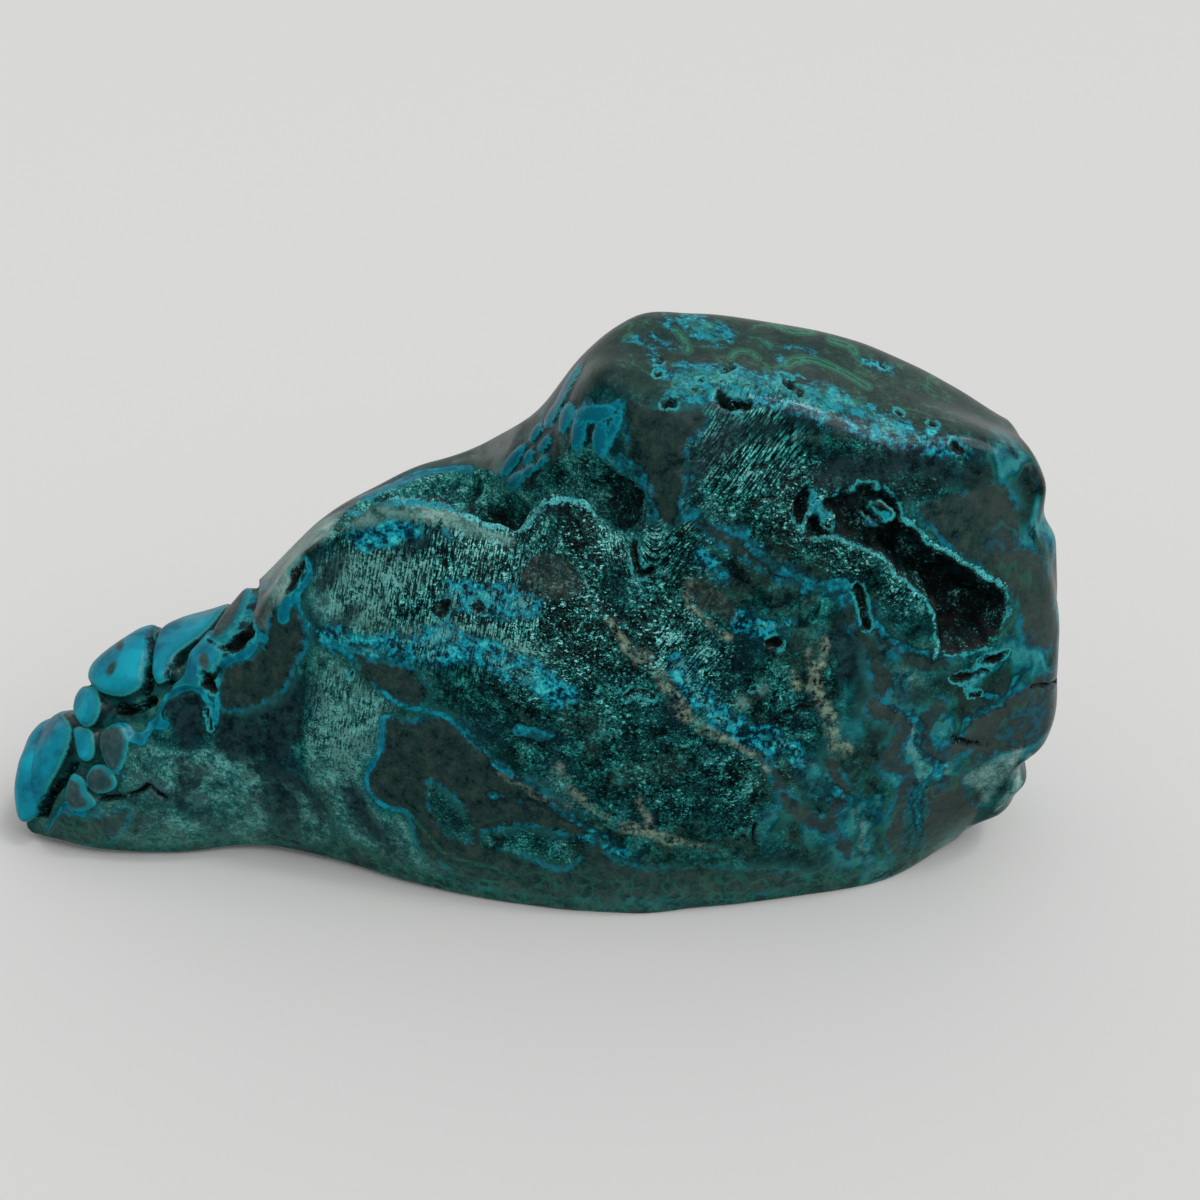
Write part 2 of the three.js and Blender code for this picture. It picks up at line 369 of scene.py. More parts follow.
def plain_form():
    """The stone's points, slice by slice and round each slice, with the number of the line that
    each point follows (a point halfway from line 4 to line 5 has 4.5)."""
    share = np.arange(1, LENGTH_STEPS) / LENGTH_STEPS
    eased = (1 - END_CROWDING) * share + END_CROWDING * (1 - np.cos(np.pi * share)) / 2
    x = NOSE_POLE[0] + (HEAD_POLE[0] - NOSE_POLE[0]) * eased
    inside = np.clip(x, NOSE_START, HEAD_START)
    corner = np.stack([along_line(points(text), inside) for _, _, text in LINES.values()], 1)
    fullness = np.array([full for full, _, _ in LINES.values()])[None, :, None]
    to_nose = np.clip((NOSE_START - x) / (NOSE_START - NOSE_POLE[0]), 0, 1)[:, None, None]
    to_head = np.clip((x - HEAD_START) / (HEAD_POLE[0] - HEAD_START), 0, 1)[:, None, None]
    nose, head = np.array(NOSE_POLE[1:]), np.array(HEAD_POLE[1:])
    corner = nose + (corner - nose) * (1 - to_nose**NOSE_FULLNESS) ** (1 / NOSE_FULLNESS)
    corner = head + (corner - head) * (1 - to_head**fullness) ** (1 / fullness)
    rounds, line_of = [], []
    for k, (_, count, _) in enumerate(LINES.values()):
        a, b, c, d = (np.roll(corner, 1 - k - step, axis=1)[:, :1] for step in range(4))
        t = (np.arange(count) / count)[None, :, None]
        rounds.append(
            0.5
            * (
                2 * b
                + (c - a) * t
                + (2 * a - 5 * b + 4 * c - d) * t**2
                + (3 * b - a - 3 * c + d) * t**3
            )
        )
        line_of.append(k + np.arange(count) / count)
    yz = np.concatenate(rounds, axis=1)
    grid = np.concatenate([np.broadcast_to(x[:, None, None], (*yz.shape[:2], 1)), yz], axis=2)
    return grid, np.broadcast_to(np.concatenate(line_of), grid.shape[:2])


def outward(grid):
    """Unit normals of a grid that is closed round each slice: the cross product of the step to
    the next slice and the step round the slice."""
    on = np.gradient(grid, axis=0)
    round_ = np.roll(grid, -1, axis=1) - np.roll(grid, 1, axis=1)
    normal = np.cross(on, round_)
    return normal / np.maximum(np.linalg.norm(normal, axis=2, keepdims=True), 1e-9)


form, line_at = plain_form()
print("form:", form.shape[0], "slices of", form.shape[1], "points")

# %% [markdown]
# ## Noise and distance
# Relief and markings need two tools. The first is a cloudy noise in space, which breaks up every
# edge that would look drawn. A texture could be sampled for it. Here it is made from a table of
# random numbers on a lattice and smoothed between them, so that it is the same on every run.

# %% Noise in space
LATTICE = 32


def cloud(place, size, octaves=1, seed=0):
    """Noise from 0 to 1 with clouds of about this size. Each octave is half the size and half
    the strength of the one before."""
    total, weight, sum_of_weights = 0.0, 1.0, 0.0
    for octave in range(octaves):
        table = np.random.default_rng(SEED + seed * 17 + octave).random((LATTICE,) * 3)
        q = place * (2**octave) / size + 11.3 * octave
        cell = np.floor(q).astype(int)
        t = q - cell
        t = t * t * t * (t * (6 * t - 15) + 10)
        value = 0.0
        for step in np.ndindex(2, 2, 2):
            i, j, k = ((cell + step) % LATTICE).reshape(-1, 3).T
            share = np.where(np.array(step), t, 1 - t).prod(axis=-1)
            value = value + table[i, j, k].reshape(share.shape) * share
        total = total + value * weight
        sum_of_weights += weight
        weight /= 2
    return total / sum_of_weights


def ease(value, start, end):
    """0 up to start and 1 from end on, with a smooth step between."""
    t = np.clip((value - start) / (end - start), 0, 1)
    return t * t * (3 - 2 * t)


print("noise on the form, mean:", round(float(cloud(form, 5.0).mean()), 3))

# %% [markdown]
# The second tool is distance: how far each point of the skin lies from a drawn outline or path.
# The outlines are drawn on a chart of the show side, across and up, looking down on it by
# CHART_TILT, in millimetres. A painted mask has a fixed sharpness, but a distance can be turned
# into a wall, a rim or a soft edge at will.

# %% The chart of the show side, and distances on it
CHART_TILT = np.radians(28.0)
FAR = 8.0  # distances past this many millimetres aren't needed
CURVE_STEPS = 4


def chart_of(grid):
    """Across and up, as the show side is seen from CHART_TILT above level."""
    up = grid[..., 2] * np.cos(CHART_TILT) + grid[..., 1] * np.sin(CHART_TILT)
    return np.stack([grid[..., 0], up], axis=-1)


def curve(knots, closed):
    """A smooth curve through the knots, with CURVE_STEPS short straight pieces for each."""
    if closed:
        ring = knots
    else:
        ring = np.concatenate([2 * knots[:1] - knots[1:2], knots, 2 * knots[-1:] - knots[-2:-1]])
    a, b, c, d = (np.roll(ring, 1 - step, axis=0)[:, None] for step in range(4))
    t = (np.arange(CURVE_STEPS) / CURVE_STEPS)[None, :, None]
    smooth = 0.5 * (
        2 * b + (c - a) * t + (2 * a - 5 * b + 4 * c - d) * t**2 + (3 * b - a - 3 * c + d) * t**3
    )
    if closed:
        return np.concatenate([smooth.reshape(-1, 2), knots[:1]])
    return np.concatenate([smooth[1:-2].reshape(-1, 2), knots[-1:]])


def distance(chart, text, width=None):
    """Millimetres to an outline, less than 0 inside it, or to a path this wide."""
    line = curve(points(text), closed=width is None)
    flat = chart.reshape(-1, 2)
    found = np.full(len(flat), FAR)
    low, high = line.min(axis=0) - FAR, line.max(axis=0) + FAR
    near = np.flatnonzero(np.all((flat > low) & (flat < high), axis=1))
    q = flat[near]
    nearest = np.full(len(q), FAR**2)
    inside = np.zeros(len(q), bool)
    for start, end in zip(line[:-1], line[1:]):
        step = end - start
        t = np.clip(((q - start) @ step) / max(step @ step, 1e-9), 0, 1)
        nearest = np.minimum(nearest, ((q - start - t[:, None] * step) ** 2).sum(axis=1))
        crosses = (start[1] > q[:, 1]) != (end[1] > q[:, 1])
        rise = step[1] if step[1] else 1e-9
        inside ^= crosses & (q[:, 0] < start[0] + (q[:, 1] - start[1]) * step[0] / rise)
    reach = np.sqrt(nearest)
    found[near] = reach - width / 2 if width else np.where(inside, -reach, reach)
    return found.reshape(chart.shape[:-1])


def nearest_of(chart, outlines=(), paths=()):
    """The least distance to any of several outlines and (width, path) pairs."""
    found = np.full(chart.shape[:-1], FAR)
    for text in outlines:
        found = np.minimum(found, distance(chart, text))
    for width, text in paths:
        found = np.minimum(found, distance(chart, text, width))
    return found


def patches(chart, discs):
    """A soft mask from discs given as (across, up, radius, strength), the strongest winning."""
    mask = np.zeros(chart.shape[:-1])
    for across, up, radius, strength in discs:
        away = np.hypot(chart[..., 0] - across, chart[..., 1] - up) / radius
        mask = np.maximum(mask, strength * ease(away, 1.3, 0.5))
    return mask


# %% The torn edge of the plate, and the chart of this stone
RIM = (  # across, and how far the plate's torn edge stands above its line there
    "-40,0 -27,0 -24,1 -20,2.2 -12,1.8 -7,.4 -3.6,-1 .5,-1.2 3,1 5.5,4.4 9,5.6 12.4,5.6 15,3.5 "
    "18,1 21,0 60,0"
)
TORN_IN, TORN_OUT = (-27, -22), (22, 18)  # x over which the teeth fade in and out
TOOTH_SIZE, TOOTH_HEIGHT = 2.0, 3.0
SWAY = 1.3  # how far the chart wanders, so that a drawn edge doesn't look drawn

rim = along_line(points(RIM), form[:, 0, 0])
torn = ease(form[..., 0], *TORN_IN) * ease(form[..., 0], *TORN_OUT)
form[..., 2] += rim * ease(line_at, 4.1, 4.95) * ease(line_at, 5.6, 5.15)
near_edge = ease(line_at, 4.7, 5.0) * ease(line_at, 5.3, 5.05)
form[..., 2] += (cloud(form, TOOTH_SIZE, 2, 9) - 0.5) * TOOTH_HEIGHT * torn * near_edge
facing = outward(form)

plain_chart = chart_of(form)
sway = np.stack([cloud(form, 7.0, 3, seed) - 0.5 for seed in (1, 2)], axis=-1)
chart = plain_chart + SWAY * sway
show_side = ease(line_at, 10.2, 9.4)  # 1 from the sole up to the crown, 0 from the nape on
flat_chart = plain_chart.reshape(-1, 2)
print("chart spans", flat_chart.min(axis=0).round(), "to", flat_chart.max(axis=0).round())

# %% [markdown]
# ## Relief: lumps
# At the nose the chrysocolla grew as smooth botryoidal lumps, and the polisher only brushed them.
# Small petals of it line the slope under the head's brow. A lump could be a ball joined on, but
# then seams show. Here each lump is an outline on the chart, filled like a pillow: the skin
# rises along its own normal as a quarter circle does from the outline inwards, and where two
# lumps meet the higher one wins and leaves a crease. The petals are plain domes on ellipses.

# %% Lumps and petals
SWELLINGS = [  # centre, half lengths of an ellipsoid round it, lift; all in millimetres
    ((-92, -2, 9), (8, 11, 10), -2.6),
    ((-57, 4, 40), (9, 12, 7), -1.8),
    ((86, -8, 31), (14, 16, 9), 1.6),
    ((86, -6, 68), (6, 16, 7), -1.8),
    ((96, -4, 34), (9, 24, 26), -1.2),
    ((94, -4, 20.5), (14, 22, 6.5), -5.6),
    ((91, -4, 1), (12, 22, 9), -4.6),
    ((96, -4, 11), (12, 24, 9), -2.6),
    ((96, -2, 41), (7, 12, 2.2), -2.2),
    ((96, -4, 33), (6, 10, 1.8), -1.8),
]
LUMPS = [  # height, how far in it is full, width of the rim round an olive heart, outline
    (1.9, 3.2, 0, "-95,4 -95,9 -93,14 -90,18 -86,19.5 -81.5,18 -81,15.5 -82.5,11 -85,7 "
                  "-87.5,2.5 -89,1 -92,0"),
    (2.1, 3.8, 0, "-79,27 -78,31 -74.5,34.5 -70,37 -67,36.5 -65.5,34 -65.5,31 -66,28.5 -66,26 "
                  "-67.5,24.5 -70.5,23.5 -74,24 -76.5,25"),
    (1.1, 2.4, 0, "-65,33.5 -64,36.5 -58,40 -54,40 -55.5,36.5 -58,33.5 -60.5,30.5 -60.5,27.5 "
                  "-62.5,26 -64,27.5 -64.7,30"),
    (1.4, 1.8, 0, "-57,32 -54,35.5 -53,34 -51,32.5 -51,30 -52.5,28.5 -54.5,27.5 -55,25.5 -57,26 "
                  "-60.5,25 -58,27.5 -57.5,30"),
    (1.2, 2.0, 0.8, "-53.5,34 -53,36.5 -51,39.5 -48.5,42.5 -46.5,42 -47,38.5 -48,36 -49.5,34 "
                    "-51.5,33 -53,33"),
    (1.1, 1.4, 0, "-77,25 -75.5,24 -74.5,22 -75,19.5 -76.5,18 -79,18.5 -81,21 -80,24.5"),
    (1.1, 1.5, 0, "-80,17.5 -76.5,17.5 -75.5,16 -75.5,13 -77,12 -78.5,12.5 -79.5,15"),
    (1.2, 1.8, 0.8, "-81.5,6.5 -80,9.5 -77.5,8.5 -77,6.5 -75.5,4.5 -78,3 -80.5,3 -81.7,5"),
    (1.0, 1.6, 0.6, "-77,9.5 -75.5,11.3 -73,11.3 -71.3,9 -72,7.2 -75,6.3 -76.8,7.5"),
    (1.3, 1.8, 0.5, "-74,16.5 -73,18 -71,18.7 -69.5,18.2 -68.5,15.5 -70,11 -72,10.5 -73.7,13.5"),
]
HEARTS = [(-71.0, 31.0, 0.9, 0.7, 0), (-71.5, 27.5, 1.2, 0.8, 60), (-53.5, 29.8, 1.0, 1.1, 0)]
LUMPY_GROUND = (
    "-96,3 -94,16 -86,21 -81,22 -80,28 -76,35 -70,38.5 -62,40 -54,42.5 -47,44 -45,41 -46,37 "
    "-49,34.5 -51.5,32 -50.5,30 -51.5,28 -54.5,27 -55.5,25 -60,24 -62.5,21.5 -64.5,17.5 -68.5,16 "
    "-70,11 -71.5,7.5 -76,4.5 -80,2.5 -84,2.5 -87,-1.5 -90,-3"
)
PETALS = [  # across, up, half length, half width, turn in degrees
    (11.0, 66.7, 2.7, 1.1, 90),
    (14.4, 65.6, 3.1, 1.2, 95),
    (9.2, 69.8, 2.3, 1.1, 75),
    (8.9, 74.0, 5.6, 1.0, 64),
    (6.9, 71.0, 2.6, 0.9, 60),
    (3.9, 68.6, 1.9, 1.0, 55),
    (5.6, 66.2, 1.5, 1.0, 50),
    (2.6, 64.6, 1.5, 0.9, 60),
    (-0.6, 64.4, 3.5, 1.1, 50),
    (0.2, 61.0, 1.9, 1.3, 35),
    (2.9, 62.3, 1.6, 0.9, 20),
    (13.3, 69.6, 3.2, 1.4, -5),
    (16.4, 67.2, 2.4, 0.8, 70),
    (5.2, 63.4, 1.0, 0.7, 40),
]
print(len(LUMPS), "lumps and", len(PETALS), "petals")

# %% Raising the lumps and petals


def dome(chart, across, up, length, width, turn):
    """1 over the middle of an ellipse and 0 outside it: the root of one less the square of the
    distance, as a ball is round."""
    angle = np.radians(turn)
    dx, dy = chart[..., 0] - across, chart[..., 1] - up
    along = (dx * np.cos(angle) + dy * np.sin(angle)) / length
    over = (dy * np.cos(angle) - dx * np.sin(angle)) / width
    away = np.sqrt(along**2 + over**2)
    return np.sqrt(np.clip(1 - away**2, 0, None)), away


swell = np.zeros(line_at.shape)
for centre, reach, lift in SWELLINGS:
    away2 = (((form - np.array(centre)) / np.array(reach)) ** 2).sum(axis=2)
    swell += lift * np.clip(1 - away2, 0, None) ** 2

lumpy = ease(distance(plain_chart, LUMPY_GROUND), 0.6, -0.8) * show_side
lump = np.zeros(line_at.shape)
lump_edge, heart = np.full(line_at.shape, FAR), np.full(line_at.shape, FAR)
for high, full, rim_width, text in LUMPS:
    away = distance(plain_chart + 0.5 * sway, text)
    inward = np.clip(-away / full, 0, 1)
    lump = np.maximum(lump, high * np.sqrt(1 - (1 - inward) ** 2))
    lump_edge = np.minimum(lump_edge, away)
    if rim_width:
        heart = np.minimum(heart, away + rim_width)
for across, up, length, width, turn in HEARTS:
    away = dome(plain_chart + 0.3 * sway, across, up, length, width, turn)[1]
    heart = np.minimum(heart, (away - 1) * width)
lump_edge = lump_edge * show_side + FAR * (1 - show_side)
petal = np.zeros(line_at.shape)
for shape in PETALS:
    petal = np.maximum(petal, dome(plain_chart + 0.4 * sway, *shape)[0])
petal *= show_side
lump *= show_side
print("tallest lump", round(float(lump.max()), 2), "mm")

# %% [markdown]
# ## Relief: pits, slits and druse
# Where the stone wasn't filled, it is open: a slanting vug in the head, a seam along the crest,
# and many slits and pinholes. Cutting them one by one would break the closed skin. Instead the
# skin sinks by a depth that grows with the distance inside each outline, over a steep wall.

# %% Pits and slits
WALL = 1.3  # millimetres over which a pit reaches its depth
PITS = [  # depth, outline
    (1.8, "75.3,30.2 76.6,31.2 78.2,32 80.6,32.6 79.4,30.9 77.8,30.1"),
    (2.2, "70.8,28.3 73.4,29.1 77.6,29 75.8,28.1 74.4,27.2 72.4,27"),
    (1.4, "73.6,26.8 75,25.8 76.8,25 75,24.4"),
    (6.5, "57,53 61.5,52.5 65.5,49 70,47 75,44 79,42 80,40 79,37.5 77,34 74.5,32.5 70.5,32 "
          "68.5,33 67,39 63.5,43 60,45.5 58,47.5 56,49.5"),
    (2.2, "-53.5,33 -51.5,32.5 -49,34 -47.5,36 -45.5,38.2 -44.5,36.5 -44,34.5 -46,33 -48,31.5"),
    (1.8, "-54.5,26.5 -53,28 -51.5,29 -52,26.5 -53,24.5 -53.8,25.5"),
    (2.2, "-38.3,41.8 -37.7,43.2 -36.6,45.2 -35,46.8 -33.7,47.2 -34.3,45 -35.5,43.3 -36.7,42"),
    (1.6, "-6.6,40.4 -4.6,41 -3.4,39.6 -5,38.4"),
    (2.6, "32.2,72.6 33.6,72.4 34.6,71.5 35.6,71.6 36.8,71.3 37.4,70.4 37.2,69.4 36,68.9 "
          "34.4,69.3 33,70.4"),
    (2.0, "42.2,75.4 43.6,75.2 44.6,74.2 44.4,73.2 43.4,73.2"),
    (1.6, "44.6,73 45.4,73.4 45.8,72.2 45,71.4"),
    (1.2, "68.3,64.6 69.2,65.4 69.6,64.2 70.6,64.4 70.2,63 68.9,63.2"),
    (1.6, "40.3,34 41.6,35 43,33.8 42.4,32.7 40.9,32.9"),
    (1.4, "-13,39.5 -10,41 -9.3,39.5 -11.5,37.3"),
]
SLITS = [  # depth, width, path
    (2.0, 1.6, "45,53 44.5,55.5 46,57"),
    (1.8, 1.3, "51.5,56.8 54,55.2 57,53"),
    (1.8, 1.6, "54.5,42.5 55.5,40 56.5,36.5"),
    (1.2, 1.3, "18.5,25 20,26 22.5,25"),
    (0.8, 0.9, "14.5,26.5 17,26.5"),
    (0.8, 0.9, "-23.5,41.5 -20.5,40.5"),
    (1.6, 1.5, "19.5,49 20,47 20.5,45 22.5,45.5"),
    (0.8, 1.2, "73,17.5 76.5,16.5"),
    (0.8, 0.8, "-54,21.5 -53.5,18"),
    (1.2, 1.3, "-54,28 -52.5,25"),
    (1.2, 1.2, "23.4,78 23.7,78.1"),
    (1.2, 1.2, "22.9,75.5 23.2,75.7"),
    (1.0, 0.9, "29.4,74.5 29.9,74.7"),
    (1.0, 1.2, "33.4,76 35,77"),
    (1.2, 1.1, "60.2,79.2 60.8,78.9"),
    (1.2, 1.0, "60.8,70 61.4,69.7"),
    (1.2, 1.1, "65.8,68 66.4,67.8"),
    (1.4, 1.3, "24,70.2 25,71 25.3,70.3"),
    (1.0, 0.9, "38.6,26.3 39.2,26.6"),
    (0.8, 0.7, "-27,28 -26.8,28.6"),
]
# The dark inside the cracks, as inside the pits, is painted shade.
CRACKS = [  # dark and without a rim: depth, width, path
    (2.2, 1.3, "-66.8,35 -65.6,32 -65.3,29 -65.3,26 -66.3,24"),
    (2.6, 2.4, "-72,21.7 -69.5,21.5 -67,21.9 -64.8,22.9"),
    (1.4, 1.0, "-60.3,25.5 -61,28 -59.3,31 -57.3,33.5"),
    (2.2, 1.3, "-75,5.5 -72,5.5 -69.5,6 -67,7 -65.5,8 -64,7 -62.5,5.5"),
    (1.8, 1.6, "-81,11 -83,7.5 -86,4.5 -88,1"),
    (0.8, 0.7, "-44.5,-2.5 -43,-3 -40.5,-3.5"),
    (0.6, 0.5, "-24,41.5 -22,42 -20,41"),
    (1.6, 1.0, "85.5,26.3 88.5,26.6 92,26.6"),
    (1.2, 0.8, "73,16.7 76,16.5 80,16.4"),
    (0.9, 0.8, "43.5,22.3 45.5,23 48.5,24 50,24.6 52.5,26.5"),
    (1.2, 1.0, "40.5,3.5 40,1.5 40.5,-.5"),
    (0.8, 0.8, "37,.5 38.5,1 39.5,.5"),
    (0.8, 0.6, "34.5,12 36,13.5 37.5,14"),
    (0.9, 0.7, "37.5,55.5 39,56.6 41,56.5 43,55.8"),
    (0.7, 0.5, "30.5,18 33.5,16.2 37,14"),
    (0.7, 0.5, "26,10 29,9 31,7"),
    (0.6, 0.4, "6,20 9,18.5 11,18.6"),
    (0.6, 0.4, "21,37.5 23.5,36 26,35.5"),
    (0.7, 0.5, "-11,27.5 -8,26 -5.5,26.3"),
    (0.8, 0.6, "12,44.5 14,41.5 17,38.5 20,36.5"),
]
print(len(PITS), "pits,", len(SLITS), "slits and", len(CRACKS), "cracks")

# %% The seam, its caves and the winding openings
WORMY = (  # where the vug breaks up into winding openings
    "43.6,53 44.6,57.2 48.5,59.4 53,58.6 57.5,58 60.5,55 60.5,50.5 57.5,48 54,49 50.5,50.2 46,50.4"
)
TROUGH = (
    "-31,53 -27,58 -22,60 -17.3,61.8 -13.6,62.8 -8.6,63.6 -4,62.6 -1,60 3,60 7,63 12,64.5 15,63 "
    "17.5,60 20.5,56.5 22,52 20,48 8,49 -10,48 -28,49"
)
# Hollows behind the plate: the skin sinks in them, and their druse is darkened as painted shade.
CAVES = [
    "11,58.5 14,61 17.5,60 20.5,56 20.5,53 18,51.5 14.5,52.5 12.5,55.5",
    "-11,56 -7,58.5 -2,58.5 1.5,56.5 3,53.5 1,51 -4,50.5 -8,53",
    "-24,57.5 -19,59.8 -13,61.3 -8,61.8 -8,60.3 -13,59.2 -18,58 -23,56.6",
]
TROUGH_DEPTH, CAVE_DEPTH = 2.2, 3.6
WORM_SIZE, WORM_SLOPE, WORM_HALF, WORM_DEPTH = 4.8, 11.0, 1.6, 2.4  # the winding openings
print(len(CAVES), "caves")

# %% Sinking the skin
pit, sunk = np.full(line_at.shape, FAR), np.zeros(line_at.shape)
jags = (cloud(form, 1.7, 2, 33) - 0.5) * 1.7
for depth, text in PITS:
    away = distance(chart, text) + jags
    pit = np.minimum(pit, away)
    sunk = np.maximum(sunk, depth * ease(away, 0.0, -WALL * max(1.0, depth / 3)))
# Where noise is near its middle it draws winding lines: a slope makes their width a distance.
worms = np.abs(cloud(form, WORM_SIZE, 2, 31) - 0.5) * WORM_SLOPE - WORM_HALF
worms = np.maximum(distance(chart, WORMY), worms)
pit = np.minimum(pit, worms)
sunk = np.maximum(sunk, WORM_DEPTH * ease(worms, 0.0, -1.0))
for depth, width, text in SLITS:
    away = distance(plain_chart + 0.8 * sway, text, width)
    pit = np.minimum(pit, away)
    sunk = np.maximum(sunk, depth * ease(away, 0.0, -width / 2))
crack = np.full(line_at.shape, FAR)
for depth, width, text in CRACKS:
    away = distance(plain_chart + 1.2 * sway, text, width)
    crack = np.minimum(crack, away)
    sunk = np.maximum(sunk, depth * ease(away, 0.0, -width / 2))
pit = np.where(show_side > 0.5, np.minimum(pit, crack), FAR)
behind_plate = ease(line_at, 5.03, 5.15) * ease(line_at, 10.5, 9.5)
cave_mask = ease(nearest_of(chart, CAVES) + 1.2 * jags, 0.8, -2.2) * behind_plate
trough_edge = distance(chart, TROUGH)
trough = ease(trough_edge, 0.3, -0.3) * behind_plate
sunk = sunk * show_side + TROUGH_DEPTH * ease(trough_edge, 0.0, -2.2) * behind_plate
sunk = sunk + CAVE_DEPTH * cave_mask
print("deepest", round(float(sunk.max()), 2), "mm")

# %% [markdown]
# ## Relief: druse and the hand-made surface
# Druse, a crust of tiny crystals, makes the sunken parts and some of the face rough, and in places
# the saw left its marks under the polish. Crystals could be scattered as small meshes, but these
# are finer than a grain of salt. Here noise roughens the skin where soft discs say how strong the
# druse is. A slow undulation stands for the hand that held the stone to the wheel.

# %% Druse, saw marks and undulation
DRUSE = [  # across, up, radius, strength of the speckle
    (8, 36, 12, 1.0), (14, 18, 15, 0.3), (3, 30, 8, 0.7), (30, 13, 10, 0.35), (24, 36, 8, 0.8),
    (-6, 43, 11, 0.7), (46, 55, 8, 0.9), (16, 27, 7, 0.6), (22, 22, 10, 0.4), (32, 26, 6, 0.5),
    (14, 51, 7, 1.0), (30, 61, 8, 0.5), (53, 49, 6, 0.7), (30, 32, 8, 0.6), (62, 42, 5, 0.6),
    (34, 54, 10, 0.5), (2, 50, 8, 0.7), (60, 63, 10, 0.35), (-20, 44, 9, 0.6), (38, 10, 9, 0.5),
    (0, 24, 9, 0.3), (24, 8, 8, 0.4), (24, 46, 9, 0.55), (44, 24, 9, 0.35), (-28, 18, 9, 0.35),
]
SAWN = [  # across, up, radius, strength of the saw marks
    (-8, 43, 15, 1.0), (22, 52, 9, 0.9), (37, 65, 9, 1.0), (27, 32, 7, 0.7), (-22, 44, 10, 0.8),
    (62, 44, 4, 0.5), (-28, 22, 9, 0.4),
]
UNDULATION = 1.1  # from hollow to rise, in millimetres
CREASE_DEPTH, PETAL_HEIGHT = 1.3, 0.75
GRIT, KNOBS = 0.55, 0.5  # the crust's two sizes of roughness, from low to high

druse = patches(chart, DRUSE) * show_side
sawn = patches(chart, SAWN) * show_side
open_rock = np.maximum(ease(pit, 0.4, -0.8) * show_side, np.maximum(trough, cave_mask))
rough = np.maximum(0.30 * druse, open_rock)
grit = cloud(form, 1.4, 2, 5) - 0.5
knobs = cloud(form, 3.2, 2, 6) - 0.5
undulation = (cloud(form, 17.0, 2, 8) - 0.5) * UNDULATION
lift = swell + undulation * (1 - lumpy) + lump - CREASE_DEPTH * lumpy * ease(lump_edge, 0.0, 1.0)
lift = lift + PETAL_HEIGHT * petal - sunk
lift = lift + rough * (GRIT * grit + KNOBS * knobs * (open_rock > 0.5))
skin = form + facing * lift[..., None]
skin[..., 2] = np.maximum(skin[..., 2], 0.0)
print("lift from", round(float(lift.min()), 2), "to", round(float(lift.max()), 2), "mm")

# %% [markdown]
# ## The map of minerals
# Polishing shows a section through banded minerals. Each of them is drawn as outlines or paths on
# the chart, and what the skin stores is the distance to the nearest one, so the material can
# give it a rim, a halo or a band at any width. On the far side, where nothing is drawn, clouds of
# noise stand in for the distances, so the same minerals run on round the stone.

# %% Islands of dark malachite
ISLANDS = [
    "15,70 18,67 18.5,63.5 19.5,60.5 21.5,57.5 22.5,54 24,52.5 26.5,52.5 26.5,56 27.5,58 27,60.5 "
    "28,64.5 30.5,66.5 29.5,69.5 26.5,69.5 22.5,69.5 18.5,71",
    "-21.5,21 -22,15 -25.5,11.5 -25,7 -22.5,5 -18,4 -17,-2 -12.5,-5.5 -6.5,-9 11,-10.5 35,-11 "
    "49,-9 47,-6 31,-5 18,-4 14,1.5 10,4 4.5,9 -1.5,13 -6,17 -9,20.5 -12,22 -15.5,20.5 -18.5,20.5",
    "-27,31.5 -22.5,31 -18,30 -15,27 -14,26 -16,23 -19.5,24 -23.5,27.5",
    "-51,28 -48,30 -44.5,31 -42,33.5 -40,38.5 -36.5,40 -35,38 -34.5,33 -36.5,29.5 -39,26 -42,24 "
    "-47,22 -51.5,22",
    "72,58 76.5,59 79.5,56 81,50 86,47 88.5,40.5 88.5,32.5 83,34 81,40.5 75.5,45 69,49 63,54.5 "
    "65.5,56",
    "74.6,19.5 77.3,21.6 81.2,24.5 85.1,27.2 86.9,28.8 89.8,28.9 94,25.6 93,21 88.6,17.2 85.1,15 "
    "80.8,14.8 76.6,16",
    "69.4,8.5 72.5,10.9 75.6,11.2 77.3,13.4 80.2,14.5 78.9,13 76.6,11 76.6,8.5 79.9,5.2 82.4,3.1 "
    "80.2,-1.3 76,-3.4 72.2,-4 70.8,1.2 70.8,4.4",
    "52,41.5 53.5,40 55.5,36.5 59,31.5 61,28 60,24.5 58,26.5 56.5,31.5 54,35.5 52.5,39",
    "41.5,14.5 43,13 45.5,8.5 50,5 54.5,1.5 57,-1 53.5,0 48,2.5 44,7",
    "28,53.5 32,52.5 37,50 41.5,47 46.5,44 45.5,43 40,45 35.5,47.5 31,50.5",
    "-85,1 -83.5,2.5 -81,2 -78.5,1.5 -76,2 -72.5,3 -70,3.5 -71,0 -73.5,-2 -77.5,-3 -82,-4.5 "
    "-86,-4 -87,-1.5",
]
ISLAND_PATHS = [
    (2.4, "55.5,35.2 57.4,32.7 59.4,29.1 60.1,26.7"),
    (3.0, "58.2,23.1 61.3,21.9 64,19.6 62.8,17.2 62,13.6 64.6,12.6 66,10.4 65.4,7 65,3.5 66,-3"),
    (2.8, "69.7,23 67.9,20.7 67.2,18.4 68.3,16.1 71.2,14 74.6,16.3 80.5,15.5"),
    (1.8, "57.4,38.9 57.4,36.4 59.7,33.9 63.2,31.4 66.5,30 69.7,30.8"),
    (2.2, "52,14 54.5,8 53,3 57,-3"),
]
print(len(ISLANDS) + len(ISLAND_PATHS), "islands")
